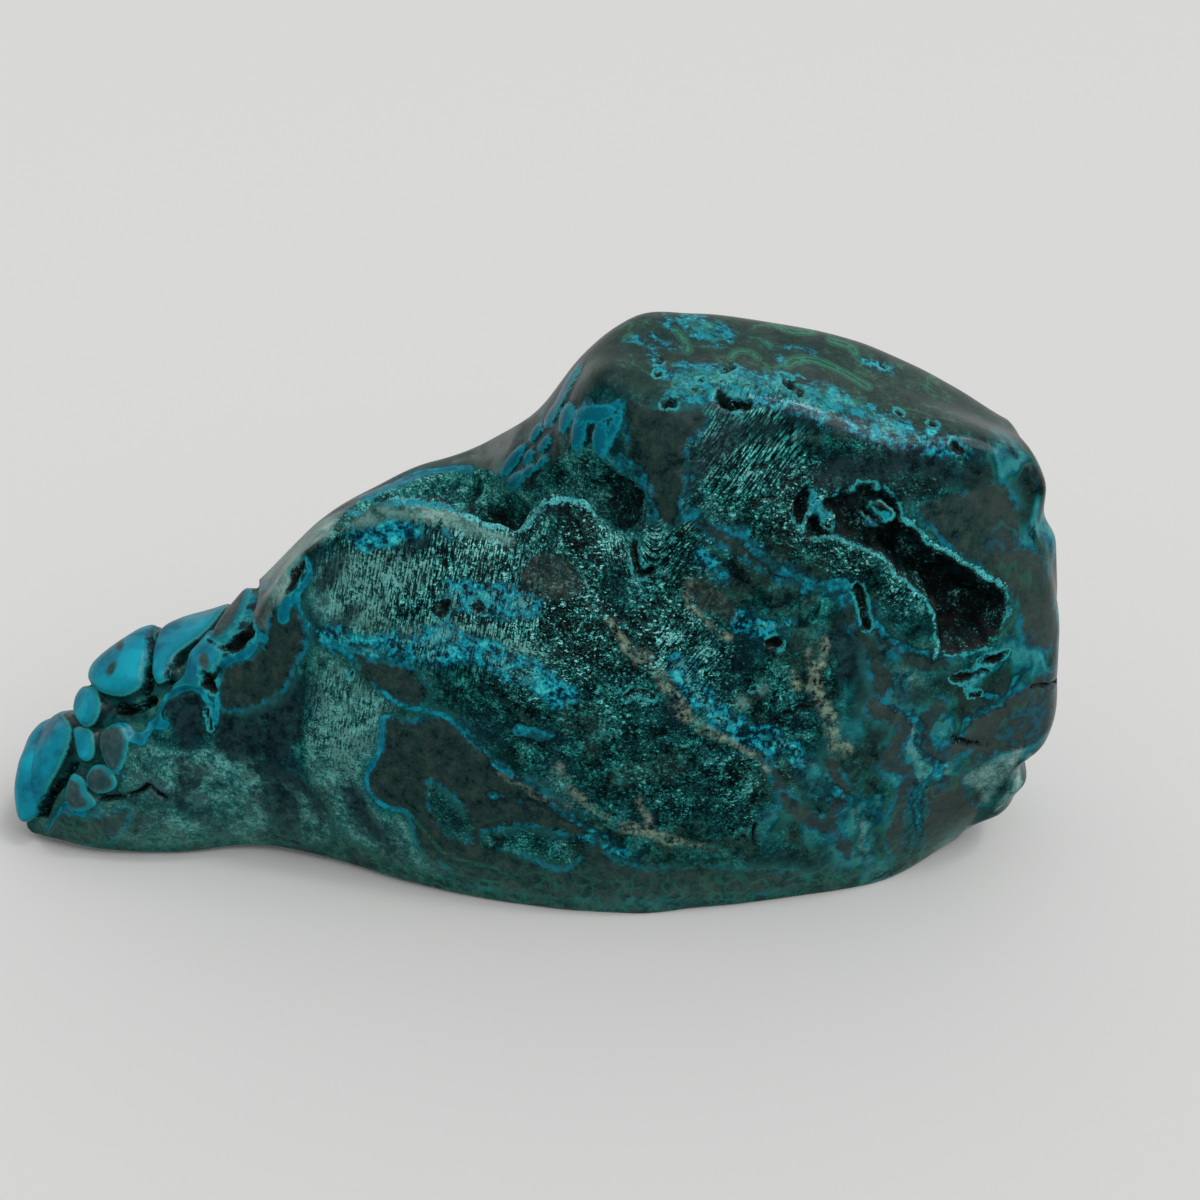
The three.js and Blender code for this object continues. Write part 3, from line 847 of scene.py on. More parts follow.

# %% [markdown]
# Between the islands the ground changes tone in wide soft fields: dark ones, the grey crest, a
# smooth grey hump behind the seam and pale bands. The grey of the crest and hump is mostly a
# painted sheen, and the pale bands carry one in places. They are outlines too, only with softer
# edges.

# %% Fields of another tone
DARKS = [  # soft dark patches in the fields
    "-51,23 -47,23 -40,25 -36.5,29.5 -36,24 -36,18.5 -38,15.5 -40.5,12 -43.5,13 -47,12 -50,12.5 "
    "-52.5,14.5 -51.5,20",
    "-61,22 -58,24.5 -55,24 -54,20.5 -55,18 -57,16 -59,15 -60,18",
    "-58,11 -56,12 -54,11 -55,9 -57.5,9",
    "-71,1 -67.5,3 -65.5,2 -67.5,0 -70.5,-1",
    "-46.5,6.5 -42,8 -38.5,6 -39,.5 -42,-2 -45.5,-2.5 -46,2",
    "-47,11.5 -41.5,11.5 -36,8.5 -34,3 -35.5,0 -36.5,5 -41,8 -45,8.5",
    "-60,13.5 -59.5,10 -61,7 -59.5,4.5 -56.5,6.5 -57,11",
    "-20,48.3 -17,49.3 -14,50.8 -13,50.2 -16,48.3 -19,47.3",
    "-12,55.5 -8.5,55 -5.5,53.5 -7,52 -11,53.5",
    "-32,43.5 -30.5,46.5 -27,48.5 -26,47 -28.5,44.5 -30.5,42",
    "-30,36.5 -27.5,39 -24.5,40.5 -24.5,38 -27.5,35.5",
    "-30,8 -28,2 -24,-3 -19,-6 -21,-2 -25,3 -27,9",
    "47,60 54,63 62,64.5 70,62 74,58 70,57.5 63,60 56,57.5 50,57",
    "25,61 31,66 38,68 42,66 36,64 31,60 28,57",
    "50,36 56,38 57,33 60,28 58,24 53,28 50,32",
]
# The crest of the flank, painted with a grey sheen over a little of the stone's own taupe.
CREST_SHEEN_OUTLINES = [  # the grey polished crest of the flank
    "-54,38.5 -50,42 -46,45.5 -40.5,50 -36,53.5 -30.5,56.5 -27,59 -25.5,57 -29,55 -31.5,52.5 "
    "-34,49 -36,46.5 -37,43.5 -38,40.5 -40,36 -44,36 -46,38.5 -48,36 -50,33",
]
# A hump behind the seam, painted with a paler grey sheen.
HUMP = "-18,63.5 -15,67 -10.5,69.5 -6,73 -2,74 0,71 -1,67 -3,63.5 -4,62.7 -7,64 -9.5,64.7 -14,64.3"
# Pale mineral, and along the plate's top and on the bulge at the right also a painted sheen.
BRIGHTS = [  # pale smooth bands and spots
    "76.2,10 79,12 83,14 86,15.5 85,11 83.7,7.5 82.5,4.8 80,8",
    "86.2,8.5 87.2,12 88,14.5 89.5,12 89.5,8.5 88,5.5 85.5,3",
    "35.9,24 37,25.2 38.2,24.2 37.2,22.9",
    "39.2,26.5 40.1,27.4 41,26.5 40.1,25.7",
    "-42,44 -39,47.5 -35.5,49 -34,47 -36,44.5 -37.5,41.5 -39.5,39.5 -42,41",
]
BRIGHT_PATHS = [
    (4.2, "-42.5,45.5 -38.5,49 -35,51.6 -31,53.6 -26.5,54.3 -22,54.8"),
    (2.6, "-24,54.4 -19,55 -15,54.6 -10,53.8 -6.4,52.4"),
    (1.4, "-8,53.2 -5,51.8 -2,50.4 0,50"),
]
print(len(DARKS), "dark fields and", len(BRIGHTS) + len(BRIGHT_PATHS), "bright ones")

# %% [markdown]
# Blue chrysocolla filled thin cracks round the lumps and the islands. The clean ones are veins, the
# broken and feathered ones are ribbons, and an enclave is a window of ground inside an island.

# %% Veins, ribbons and enclaves
VEINS = [  # clean blue lines: width, path
    (1.2, "-55,25.3 -57.5,25.5 -60.5,24.2 -62,23 -63,20.7 -62.5,19.5"),
    (0.9, "-55,25.5 -53.7,23 -53.3,21 -53.5,18.5"),
    (0.8, "-51,30 -52,28 -52,23.5 -52.3,21 -52.5,19"),
    (1.5, "-51.5,28.7 -49,30.5 -46,31.5 -44.5,33 -44,34.5 -42.2,34"),
    (1.7, "-73.2,17.2 -71.5,18.2 -69.7,17.9 -68.5,16.7 -66,16.5 -64,18.8 -61.5,19"),
    (0.5, "-73.6,16.5 -73.6,14 -72.2,11 -70,9.5"),
    (1.0, "-78,2.6 -80.5,2.7 -83,3.3 -84.5,2 -86,0 -87.5,-1.5"),
    (1.0, "-33.8,47.3 -33,45.5 -34.5,43.5 -36.3,41.7"),
    (2.0, "-36.8,41 -38,39 -38,37.5"),
    (0.7, "-35.6,42 -35.5,40 -35,38.5 -34,36.5 -33,35.5 -31.5,34.3 -28.5,32.5 -26.5,31"),
    (1.2, "-47,40.3 -45,42.3 -42.8,43.3"),
    (0.9, "-49.5,33.5 -49,35.5 -46.5,38.5 -44.5,37 -43.5,35"),
    (0.8, "-20,20.8 -21.7,20.5 -22,17 -23.3,13.5 -25.3,11 -25,8 -22.5,5.3 -20,4.7"),
    (0.7, "-21.5,25.5 -18.5,23.2 -15.5,22.2 -12,22 -9.5,20.5 -7.5,18.3"),
    (1.3, "-27,58.3 -25,59.3 -22,60.5 -19,62 -15.5,63.3 -12,63.7 -9,63.6"),
    (0.5, "-29,55.7 -25,56.6 -21,56.2 -17.5,56 -13.5,55.7 -10,55.7 -7,55"),
]
BLUEST = [  # across, up, radius, strength of the solid blue
    (-20.0, 51.4, 5.0, 1.0), (-24.5, 50.4, 3.5, 0.7), (6.8, 26.4, 4.0, 1.0), (-7.0, 33.0, 4.0, 0.6),
    (-2.0, 41.0, 4.0, 0.5), (-24.0, 33.5, 3.5, 0.5),
]
ENCLAVES = [
    "-15,9.8 -13.2,10 -10.5,8.5 -8.6,6 -7.3,3.3 -7.7,-.5 -10,-.3 -12.3,1.2 -14.1,5",
    "-6.4,.7 -4.1,1.8 -.4,2.9 5,2.8 10,1.6 13.3,1.4 12.8,-1.3 10,-3.9 7.4,-5 2.8,-3.7 -1.8,-2.4 "
    "-5,-2",
]
RIBBONS = [
    (2.2, "12,71.5 13.5,69.5 15,70 17,70.5 17.5,69 18,67 16,66 15,64.5 15.5,62.5 18,60.5 20,58.5 "
          "21,55.5 22,53"),
    (1.6, "28.5,59 27.5,56.5 27.5,53.5"),
    (2.2, "27.5,53.5 30,54.5 32,53.5 34,51.5 36.5,51"),
    (1.8, "37,49 41.5,46 45.5,44"),
    (2.4, "46.5,42.5 49.5,42.5 52,42.5"),
    (0.9, "57,40.1 57.8,37.6 60.1,33.9 63.5,32.5 67.9,32.1 71.2,31.7 74.3,32.4"),
    (1.2, "71.2,17.3 73.9,18.5 74.6,19.5 75.6,21.7 78.9,22.6 81.2,24.5 82.1,27.3 83.6,29.2"),
    (0.6, "80.5,31.4 79.6,30.5 77.9,28.7 76,26.9 76,25.9 77.3,24.7 79.6,24.6"),
    (1.2, "61.7,26.7 61.7,23.1 64.3,21.9 66.5,19.6 66.9,16.1 69.4,13.9 71.5,11.9 70.4,10.8 "
          "68.3,9.5 67.9,6.2 69.2,3 69.7,-1.1"),
    (1.0, "51.5,10 55.5,7.5 57,5 58.5,.5"),
    (0.9, "-3.6,8.2 -.9,8.1 1,6.8 2.8,5.5 4.6,5.5"),
    (1.5, ".5,19 3,19 6,19"),
    (0.8, "-8.5,20.5 -5.5,17 -1.5,13 4.5,9 10,4 15,1.5"),
]
print(len(VEINS), "veins and", len(RIBBONS), "ribbons")

# %% [markdown]
# Larger patches of blue lace, streaks of tan clay, pale fields, a bright crust along the rim of the
# seam, and the green bands that malachite shows where the polish cuts across its layers.

# %% Blotches, streaks, crusts and bands
BLOTCHES = [
    "24,75.5 26,77.5 29.9,77.8 35.1,77.2 39,76.3 42.4,76 47.8,74.6 53.1,72.8 57.8,70.4 61.7,68.2 "
    "65.4,66.8 69.7,65.6 74.6,63.6 73.9,61.9 68.3,63 60.5,64 52.7,66 44.9,68.8 40.2,70 35.5,70.3 "
    "28,70.5 24,71.5",
    "40.7,82.4 42.4,80.9 44.9,81.2 49,80.3 48.6,79.4 44.4,80 43.4,77.4 42.2,77.4 42.4,79.6",
    "26.6,87 30.7,87.4 33.6,85.9 36.2,83.9 34.8,81.4 32,81 29.7,82.4 27.6,84.6",
    "-26,50 -24.5,51.8 -22,52.8 -19,53.5 -16,53.2 -14,51.7 -16,50.4 -18.5,49.4 -21,49.3 -23.5,48.8",
    "3.5,27.5 6.5,27.8 9,27 11.5,25.8 9.5,24.6 6.5,25 4.5,26",
    "45.5,14.5 48,14.5 51.5,12 54.5,8.5 57.5,5 54.5,5 49.5,7.5 46.5,11",
    "47.5,44 50,44 53.5,42.5 54,40 51.5,40 48.5,41.5",
]
BLOTCH_PATHS = [
    (4.2, "61.7,26.7 61.7,23.1 64.3,21.9 66.5,19.6 66.9,16.1 69.4,13.9 71.5,11.9 70.4,10.8 "
          "68.3,9.5 67.9,6.2 69.2,3 69.7,-1.1"),
    (3.0, "58.6,1.6 60.4,-1"),
    (4.5, "-29.5,34 -27,33 -22.5,32.5 -18,33.5 -13,32 -8,33.5 -4,32 0,30 3.5,28.5 7.5,25.5"),
    (5.0, "-8.5,41 -5,41 -1,40.5 2.5,40"),
    (4.0, "27,30 29,26 31,24 33.5,21.5 37.5,19 41,18 45.5,15.5"),
    (4.0, "-14,33.5 -10,35.5"),
    (1.6, "24.1,86.8 25.9,84.6"),
    (1.8, "18.7,82.4 20.1,81.9"),
    (1.3, "22,82.5 23.6,81.3 26.8,80.4"),
    (1.8, "22.3,79.7 23.6,76.2 24.4,72.4"),
    (2.0, "57.5,79.5 59.5,79 61.5,78"),
    (1.2, "6,5.5 10,2.5 14,0 21,-2.5"),
    (2.5, "30,47 33,44"),
    (3.0, "36.5,37.5 39.5,36.5 43,36.5"),
]
TAUPES = ["27,44 30,44 33.5,42 36,38.5 34.5,37.5 31.5,38.5 28.5,40.5",
          "2,45.5 5.5,48 9.5,47 12,44.5 11.5,42 7.5,41 3,42"]
TAN_PATHS = [
    (0.9, "12,40 15.1,37.6 16.9,35.7 18.7,32.7"),
    (1.9, "18.2,33.4 21.2,31.4 22.8,30.2"),
    (2.5, "23.2,29.8 25,26.2 26.3,23.8 27.2,22.6"),
    (1.5, "27.2,22.6 30.5,20 34.5,18"),
    (0.8, "34.5,18 38.5,15.5 42,12.5"),
    (1.2, "7.8,12.9 10.7,8.3 14.2,5.6 17.8,3"),
    (2.0, "17.8,3 22.7,1.4 27.6,.2"),
    (1.0, "27.6,.2 31.6,-1.1 36,-2.6"),
    (1.2, "20.4,7.4 21,6 22.3,4.2 22.9,2.2"),
    (1.4, "47,32.5 49,26.5 51.5,19.5 52.5,15.5"),
    (1.8, "49.5,34 49,30 48,26.5"),
    (1.6, "50.5,24 52.5,19.5 54.5,16"),
    (1.2, "44.5,30 45.5,26.5"),
    (1.2, "27,41.5 28.5,39.5 31.5,37 34.5,35"),
    (1.0, "-2,12 1,10.5 5,8 9,6.5"),
]
PALES = [
    "-33,32.5 -27.5,29.5 -23.5,26 -19,23 -21.5,21 -22.5,15 -26,11.5 -25.5,7 -23,4 -18.5,3 -17,-3 "
    "-12.5,-6.5 -21,-6 -27,-3.5 -32,-.5 -34,5.5 -36.5,12 -34.5,20",
    "-34,42 -29.5,44 -22,44 -19,41 -21.5,38.5 -26,37 -32.5,37.5",
    "-72,9.5 -66,16 -62,15 -55.5,15 -49.5,15.5 -44.5,11 -37.5,10.5 -35,5.5 -33.5,-1.5 -40,-4 "
    "-58.5,-4.5 -71,-4 -76.5,.5 -74,5.5 -65.5,4",
    "-23,34.5 -30,35.5 -32.5,37.5 -27,38.5 -18,37 -9,37.5 1.5,35 8,31 4.5,30 -5,32 -15,33.5",
    "62,30.2 65.8,28.9 66.9,26.5 64.7,24.3 62.4,21.9 60.1,24.3 60.9,27.9",
    "5.1,10.4 7.8,8 10.1,6.7 8.7,11.6 6.9,14.1",
    "-34,40.5 -33,45 -29,48 -23,48.5 -17,48 -13,46 -14,43 -19,42 -23,41 -20,39.5 -22,36.5 -27,35.5 "
    "-32,37.5",
]
CRUSTS = [
    (0.7, "-27,57 -22,57.2 -17.5,56.4 -10,55.2 -6,54 -3.6,52.5 1.9,51.9 3.6,53.6 5.5,55.9 "
          "9.2,56.3 12.4,55.9 14.6,53.6 17.8,51.9 20.5,51.6"),
    (0.4, "58,53.3 61.5,52.8 65.5,49.3 70,47.3 75,44.3 79,42.3"),
    (0.4, "56,48.5 60.5,45.2 63.2,42.8 66.5,39 68.2,35.5 68.2,32"),
]
GREENS = [
    (1.7, "43.7,77.3 45.5,78.4 48,78.6 51,77.8 54,76.4 56.5,74.8"),
    (1.0, "34.7,78.6 36,80 38.1,79.8 39.2,78.5"),
    (0.3, "-18.4,4.5 -17,2.5 -14.3,-1 -11.4,-3.4 -3.5,-5.2"),
    (0.2, "-18.6,.5 -15.5,-4 -11,-6.5 -3,-8"),
    (1.6, "42.5,86.5 45.5,84.5 49,84.5"),
    (1.6, "52,83 55,82.5 56,81"),
    (1.2, "26.5,84 28.5,81 28,80"),
]
print(len(BLOTCHES) + len(BLOTCH_PATHS), "blotches and", len(TAN_PATHS), "streaks of clay")

# %% [markdown]
# Each kind of mark now becomes one distance for every point of the skin. On the far side, where
# nothing is drawn, noise with the slope of a distance takes over without a seam.

# %% Turning the map into distances
OUTSIDE = 2.5  # a distance at which no shape shows


def far_side(size, share, seed):
    """A stand-in for a distance where nothing is drawn: clouds of this size, of which this share
    counts as inside, given the slope of a distance."""
    noise = cloud(form, size, 4, seed)
    return (np.quantile(noise, 1 - share) - noise) * size * 1.6


def mapped(outlines, paths, stand_in):
    """The drawn distances on the show side and the stand-in on the far side."""
    drawn = nearest_of(chart, outlines, paths)
    return np.clip(drawn * show_side + stand_in * (1 - show_side), -FAR, FAR)


def seen_only(distances):
    """Distances on the show side that run off to OUTSIDE, slowly, towards the far side."""
    fading = ease(line_at, 11.0, 9.3)
    return distances * fading + OUTSIDE * (1 - fading)


# %% Pebbles in the openings
PEBBLES = [  # loose ones in the openings: across, up, half length, half width, turn in degrees
    (56.6, 53.0, 2.2, 1.2, 18),
    (48.6, 54.2, 1.9, 1.5, 30),
    (46.6, 56.6, 1.5, 1.0, -20),
    (51.2, 51.2, 1.3, 1.0, 60),
    (54.0, 56.0, 1.3, 0.9, 70),
    (57.8, 56.6, 1.2, 0.9, 10),
    (51.4, 56.4, 1.0, 0.7, 0),
    (54.4, 50.0, 1.4, 0.9, 80),
    (59.5, 51.0, 0.9, 0.7, 0),
    (71.6, 44.2, 1.1, 0.6, -10),
    (63.0, 49.2, 0.9, 0.5, 40),
]
cells = np.full(line_at.shape, FAR)
for across, up, length, width, turn in PETALS + PEBBLES:
    away = dome(plain_chart + 1.2 * sway, across, up, length, width, turn)[1]
    cells = np.minimum(cells, (away - 1) * width)
cells = seen_only(cells)
print(len(PEBBLES), "pebbles")

# %% Flowing bands and the way the saw ran
FLOWING = [  # across, up, radius, strength of the flowing bands
    (60, 8, 12, 0.6), (64, -2, 12, 0.8), (86, 36, 9, 0.8), (84, 50, 9, 0.8), (78, 60, 8, 0.7),
    (48, 6, 9, 0.5), (-72, 3, 9, 0.4), (80, 22, 12, 0.9), (62, 20, 10, 0.6), (74, 4, 9, 0.8),
]
LEAN_LEFT, LEAN_LESS = 78, 27  # degrees that the saw marks lean, and how much less at the right
lean = np.radians(LEAN_LEFT - LEAN_LESS * ease(form[..., 0], 8, 24))
grind_across = form[..., 0] * np.sin(lean) - form[..., 2] * np.cos(lean)
grind_along = form[..., 0] * np.cos(lean) + form[..., 2] * np.sin(lean)

# %% Everything that the skin stores
on_crown = ease(line_at, 6.9, 7.15) * ease(form[..., 0], 7, 12) * ease(line_at, 11.5, 10.0)
far_island = far_side(26, 0.30, 21)
island = mapped(ISLANDS, ISLAND_PATHS, far_island)
enclave = nearest_of(chart, ENCLAVES)
stored = {
    "island": np.maximum(island, np.where(show_side > 0.5, -enclave, -FAR)),
    "ribbon": mapped([], RIBBONS, np.abs(far_island - 1.2) - 0.4),
    "blotch": mapped(BLOTCHES, BLOTCH_PATHS, far_side(17, 0.12, 23)),
    "tan": mapped([], TAN_PATHS, far_side(16, 0.05, 24)),
    "taupe": seen_only(nearest_of(chart, TAUPES)),
    "pale": mapped(PALES, [], far_side(24, 0.18, 25)),
    "crust": mapped([], CRUSTS, far_side(14, 0.015, 26)),
    "green": mapped([], GREENS, far_side(13, 0.01, 27)),
    "pit": pit,
    "heart": heart,
    "lumpy": lumpy,
    "lump": lump_edge,
    "cell": np.minimum(cells, FAR),
    "druse": np.maximum(druse, 0.3 * ease(enclave, 0.5, -0.5) * show_side),
    "sawn": sawn,
    "grind_across": grind_across,
    "grind_along": grind_along,
    "flow": np.maximum(patches(chart, FLOWING) * show_side, 0.5 * (1 - show_side)),
    "crown": on_crown,
    "open": np.maximum(trough, cave_mask),
    "cave": cave_mask,
    "dark": nearest_of(chart, DARKS),
    # grey and hump carry a painted sheen, and bright a pale mineral that is partly painted sheen.
    "grey": seen_only(nearest_of(plain_chart + 0.6 * sway, CREST_SHEEN_OUTLINES)),
    "hump": seen_only(distance(plain_chart + 0.3 * sway, HUMP)),
    "bright": seen_only(nearest_of(plain_chart + 0.8 * sway, BRIGHTS, BRIGHT_PATHS)),
    "edged": ease(crack, 0.8, 1.6),
    "vein": mapped([], VEINS, far_side(12, 0.02, 28)),
    "bluest": patches(plain_chart, BLUEST) * show_side,
}
for name, values in stored.items():
    print(f"{name:8} {values.min():6.2f} to {values.max():6.2f}")

# %% [markdown]
# ## The skin as a mesh
# The grid becomes quads, each slice joined to the next and closed round, with a fan of triangles
# to the pole at each end. Everything is moved by MIDDLE and turned from millimetres to metres,
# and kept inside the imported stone's box.

# %% Build the mesh


def skin_mesh(name, grid, poles, values):
    """A closed mesh from a grid and its two poles, with the values stored on its points. At a
    pole a value is the mean of its ring."""
    slices, round_ = grid.shape[:2]
    place = np.concatenate([poles[:1], grid.reshape(-1, 3), poles[1:]])
    place = (place - MIDDLE) * MM
    place = np.clip(place, np.array(stone_low), np.array(stone_high))
    ids = 1 + np.arange(slices * round_).reshape(slices, round_)
    right = np.roll(ids, -1, axis=1)
    quads = np.stack([ids[:-1], ids[1:], right[1:], right[:-1]], axis=-1).reshape(-1, 4)
    first = np.zeros(round_, int)
    last = np.full(round_, len(place) - 1)
    nose_fan = np.stack([first, ids[0], right[0]], axis=-1)
    head_fan = np.stack([last, right[-1], ids[-1]], axis=-1)
    mesh = bpy.data.meshes.new(name)
    mesh.from_pydata(place.tolist(), [], quads.tolist() + nose_fan.tolist() + head_fan.tolist())
    for key, value in values.items():
        flat = np.concatenate([[value[0].mean()], value.ravel(), [value[-1].mean()]])
        layer = mesh.attributes.new(key, "FLOAT", "POINT")
        layer.data.foreach_set("value", flat.astype(np.float32))
    mesh.shade_smooth()
    mesh.validate()
    return mesh


POLE_INSET = 0.05  # millimetres that keep the poles inside the box
poles = np.array([NOSE_POLE, HEAD_POLE], float)
poles[:, 0] += np.array([POLE_INSET, -POLE_INSET])
stone_mesh = skin_mesh("polished_stone", skin, poles, stored)
stone = bpy.data.objects.new("polished_stone", stone_mesh)
bpy.context.scene.collection.objects.link(stone)
triangles = sum(len(p.vertices) - 2 for p in stone_mesh.polygons)
print("triangles:", triangles)

# %% [markdown]
# ## The material
# On the real stone each mineral has its own colour, and polish brings it out: smooth malachite
# mirrors, druse glitters and open pits stay dull. Painting it as one image would blur close up
# and show seams. Here the colour is worked out at every point from the stored distances, whose
# edges are made to wander by fine noise, and it is laid in the order in which a thing covers
# another. The weights in the sums are tuned: each says how far a noise shifts a level along its
# ramp, or an edge in millimetres. A noise less 0.5 swings evenly about nothing.

# %% Noises and shares
stone_paint = bpy.data.materials.new("chrysocolla_and_malachite")
rock = Recipe(stone_paint)
place = rock.vector("SCALE", rock.node("ShaderNodeTexCoord", out="Object"), 1 / MM)


def report(step):
    """Prints how large the material has grown."""
    print(f"{step}: {len(rock.tree.nodes)} nodes so far")


broad = rock.noise(place, 0.11, 4.0, 0.6)
middling = rock.noise(place, 0.38, 5.0, 0.68)
small = rock.noise(place, 1.3, 3.0, 0.7)
tiny = rock.noise(place, 3.2, 2.0, 0.6)
other = rock.noise(rock.vector("ADD", place, (37.0, 11.0, 5.0)), 0.5, 4.0, 0.6)
speckle = rock.noise(rock.vector("ADD", place, (5.0, 53.0, 21.0)), 1.7, 3.0, 0.75)
patchy = rock.noise(rock.vector("ADD", place, (3.0, 9.0, 71.0)), 0.2, 3.0, 0.6)
wander = (middling - 0.5) * 4.0 + (small - 0.5) * 1.6  # millimetres by which edges wander
fray = (small - 0.5) * 1.2 + (tiny - 0.5) * 0.6
breaking = patchy - 0.5

druse_share = rock.stored("druse")
open_share = rock.stored("open")
crown_share = rock.stored("crown")
sawn_share = rock.stored("sawn")
flow_share = rock.stored("flow")
report("noises and shares")

# %% [markdown]
# ## Ground and fields
# The ground between the islands is a crust of fine crystals: nearly black pores, teal body, and
# flecks of pale green where a crystal face catches light. A level is summed from noises of many
# sizes, stronger where the druse is strong, and a ramp gives each level its tone. Where the saw
# cut, the level also follows stretched noise, which makes parallel marks.

# %% Ground and fields
SAW_ACROSS, SAW_ALONG = 3.1, 0.40  # marks to the millimetre across them, and along them
saw_place = rock.node(
    "ShaderNodeCombineXYZ",
    sockets={
        "X": rock.stored("grind_across") * SAW_ACROSS,
        "Y": rock.stored("grind_along") * SAW_ALONG,
    },
)
saw_lines = rock.noise(saw_place, 1.0, 2.0, 0.7)

pale_edge = rock.stored("pale") + wander * 1.3 + breaking * 6.0
pale = pale_edge.rise(1.2, -1.2)
fleck_place = rock.vector("ADD", place, (61.0, 7.0, 13.0))
fleck_place = rock.vector("MULTIPLY", fleck_place, (1.3, 2.2, 2.4))
glints = rock.noise(fleck_place, 1.0, 2.0, 0.6).rise(0.56, 0.66)
pores = speckle.rise(0.44, 0.36)
level = glints * (druse_share * 0.95 + 0.10)
level = level - pores * (druse_share * 0.60 + 0.14) + druse_share * 0.02
level = level + (tiny - 0.5) * (druse_share * 1.6 + 0.8)
level = level + (speckle - 0.5) * (druse_share * 1.2 + 0.5)
level = level + (small - 0.5) * 0.9 + (middling - 0.5) * 2.2 + (patchy - 0.5) * 1.5
level = level + (saw_lines.rise(0.38, 0.60) - 0.5) * sawn_share * 1.25
level = level + pale * 0.30 + 0.03 - druse_share * 0.06
GROUND = [
    (-0.50, ink(1, 10, 12)),
    (-0.15, ink(4, 38, 39)),
    (0.06, ink(10, 66, 63)),
    (0.30, ink(20, 112, 108)),
    (0.60, ink(60, 172, 168)),
    (1.00, ink(156, 228, 224)),
]
OLIVE = [
    (-0.35, ink(10, 42, 44)),
    (-0.05, ink(30, 58, 53)),
    (0.15, ink(44, 72, 64)),
    (0.50, ink(64, 120, 104)),
]
PALE = [
    (-0.35, ink(10, 50, 53)),
    (-0.05, ink(27, 82, 81)),
    (0.20, ink(43, 110, 107)),
    (0.55, ink(102, 172, 166)),
]

# %% Crackle, bruises and dark fields
crackle_place = rock.vector("SCALE", rock.noise(place, 0.9, 2.0, colour=True), 1.8)
crackle_place = rock.vector("ADD", place, crackle_place)
crackle = rock.node("ShaderNodeTexVoronoi", {"feature": "DISTANCE_TO_EDGE"},
                    {"Vector": crackle_place, "Scale": 0.55})
crackle = crackle.rise(0.07, 0.02) * (other + (small - 0.5) * 0.5).rise(0.47, 0.53)
level = level - crackle * (druse_share * 0.8 + 0.15)
level = level * (1.0 - crown_share * 0.4)
colour = rock.mix(crown_share, rock.ramp(level, GROUND), rock.ramp(level, OLIVE))
colour = rock.mix(pale * 0.82, colour, rock.ramp(level, PALE))
bruise = (broad + (middling - 0.5) * 0.6).rise(0.50, 0.60) * (1.0 - druse_share)
bruise = bruise * (1.0 - crown_share * 0.8)
colour = rock.mix(bruise * 0.75, colour, ink(5, 38, 50))
scuff = (broad - (middling - 0.5) * 0.6).rise(0.46, 0.38) * (1.0 - druse_share)
scuff = scuff * (1.0 - crown_share)
colour = rock.mix(scuff * 0.6, colour, ink(38, 58, 52))
dark = (rock.stored("dark") + wander * 1.2).rise(1.4, -1.2)
DARK = [
    (-0.30, ink(4, 22, 28)),
    (0.25, ink(30, 56, 62)),
]
dark_look = rock.ramp((other - 0.5) * 2.0 + (small - 0.5) * 0.8, DARK)
colour = rock.mix(dark * 0.82, colour, dark_look)
report("ground and fields")

# %% [markdown]
# ## The grey sheen of the crest and the shaded creases of the nose
# On the flank's crest and on a hump behind the seam the stone is a plain soft grey: partly its own
# taupe, and mostly a painted sheen of the white surroundings mirrored at a grazing angle. Between
# the nose's lumps the ground lies deep and dark, with painted shade at the foot of each lump. Both
# could be separate materials on chosen faces, with hard borders. Here they are layers in the same
# recipe.

# %% Painted grey sheen on the crest and hump, and painted shade in the creases
# Painted sheen: the crest's grey is the white surroundings mirrored at a grazing angle.
grey_edge = rock.stored("grey") + wander * 0.5
CREST_SHEEN = [
    (-0.30, ink(44, 66, 64)),
    (0.00, ink(88, 104, 98)),
    (0.30, ink(112, 128, 120)),
]
grey = grey_edge.rise(0.5, -0.6)
crest_sheen_look = rock.ramp((broad - 0.5) * 1.6 + (middling - 0.5) * 0.8, CREST_SHEEN)
colour = rock.mix(grey * 0.95, colour, crest_sheen_look)
# Painted sheen on the hump behind the seam, a paler grey.
hump = (rock.stored("hump") + wander * 1.0).rise(0.8, -1.2)
HUMP_SHEEN = [
    (-0.40, ink(70, 88, 86)),
    (0.00, ink(116, 126, 122)),
    (0.35, ink(146, 152, 148)),
]
hump_sheen_look = rock.ramp((middling - 0.5) * 1.0 + (broad - 0.5) * 1.6, HUMP_SHEEN)
colour = rock.mix(hump * open_share.rise(0.6, 0.2) * 0.92, colour, hump_sheen_look)
lumpy_share = rock.stored("lumpy")
lump_edge = rock.stored("lump") + (small - 0.5) * 0.3
CREASE = [
    (-0.35, ink(2, 34, 38)),
    (0.00, ink(14, 80, 80)),
    (0.30, ink(44, 116, 102)),
]
crease = rock.ramp((middling - 0.5) * 1.6 + (broad - 0.5) * 1.2, CREASE)
# Painted shade: the ground darkens close to each lump's edge, at the lump's foot.
crease = rock.mix(lump_edge.rise(1.1, 0.1) * 0.75, crease, ink(1, 20, 24))
colour = rock.mix(lumpy_share, colour, crease)

# The foot, the lowest 15 millimetres or so, gets painted light from the table and a green lace.
up_from_floor = rock.node("ShaderNodeSeparateXYZ", sockets={0: place}, out="Z")
foot = (up_from_floor + wander * 2.0).rise(15.0, 2.0)
report("crest and creases")

# %% [markdown]
# ## Flowing bands and blue lace
# At the right the layers of mineral bend like marbled paper. A sine of a slow, stretched noise
# gives such bands, because its crests follow the noise's contours. The blue patches are lace: a
# wandering outline, a core of another tone, and a net of brighter lines from the borders of
# random cells, broken up wherever the level falls too low.

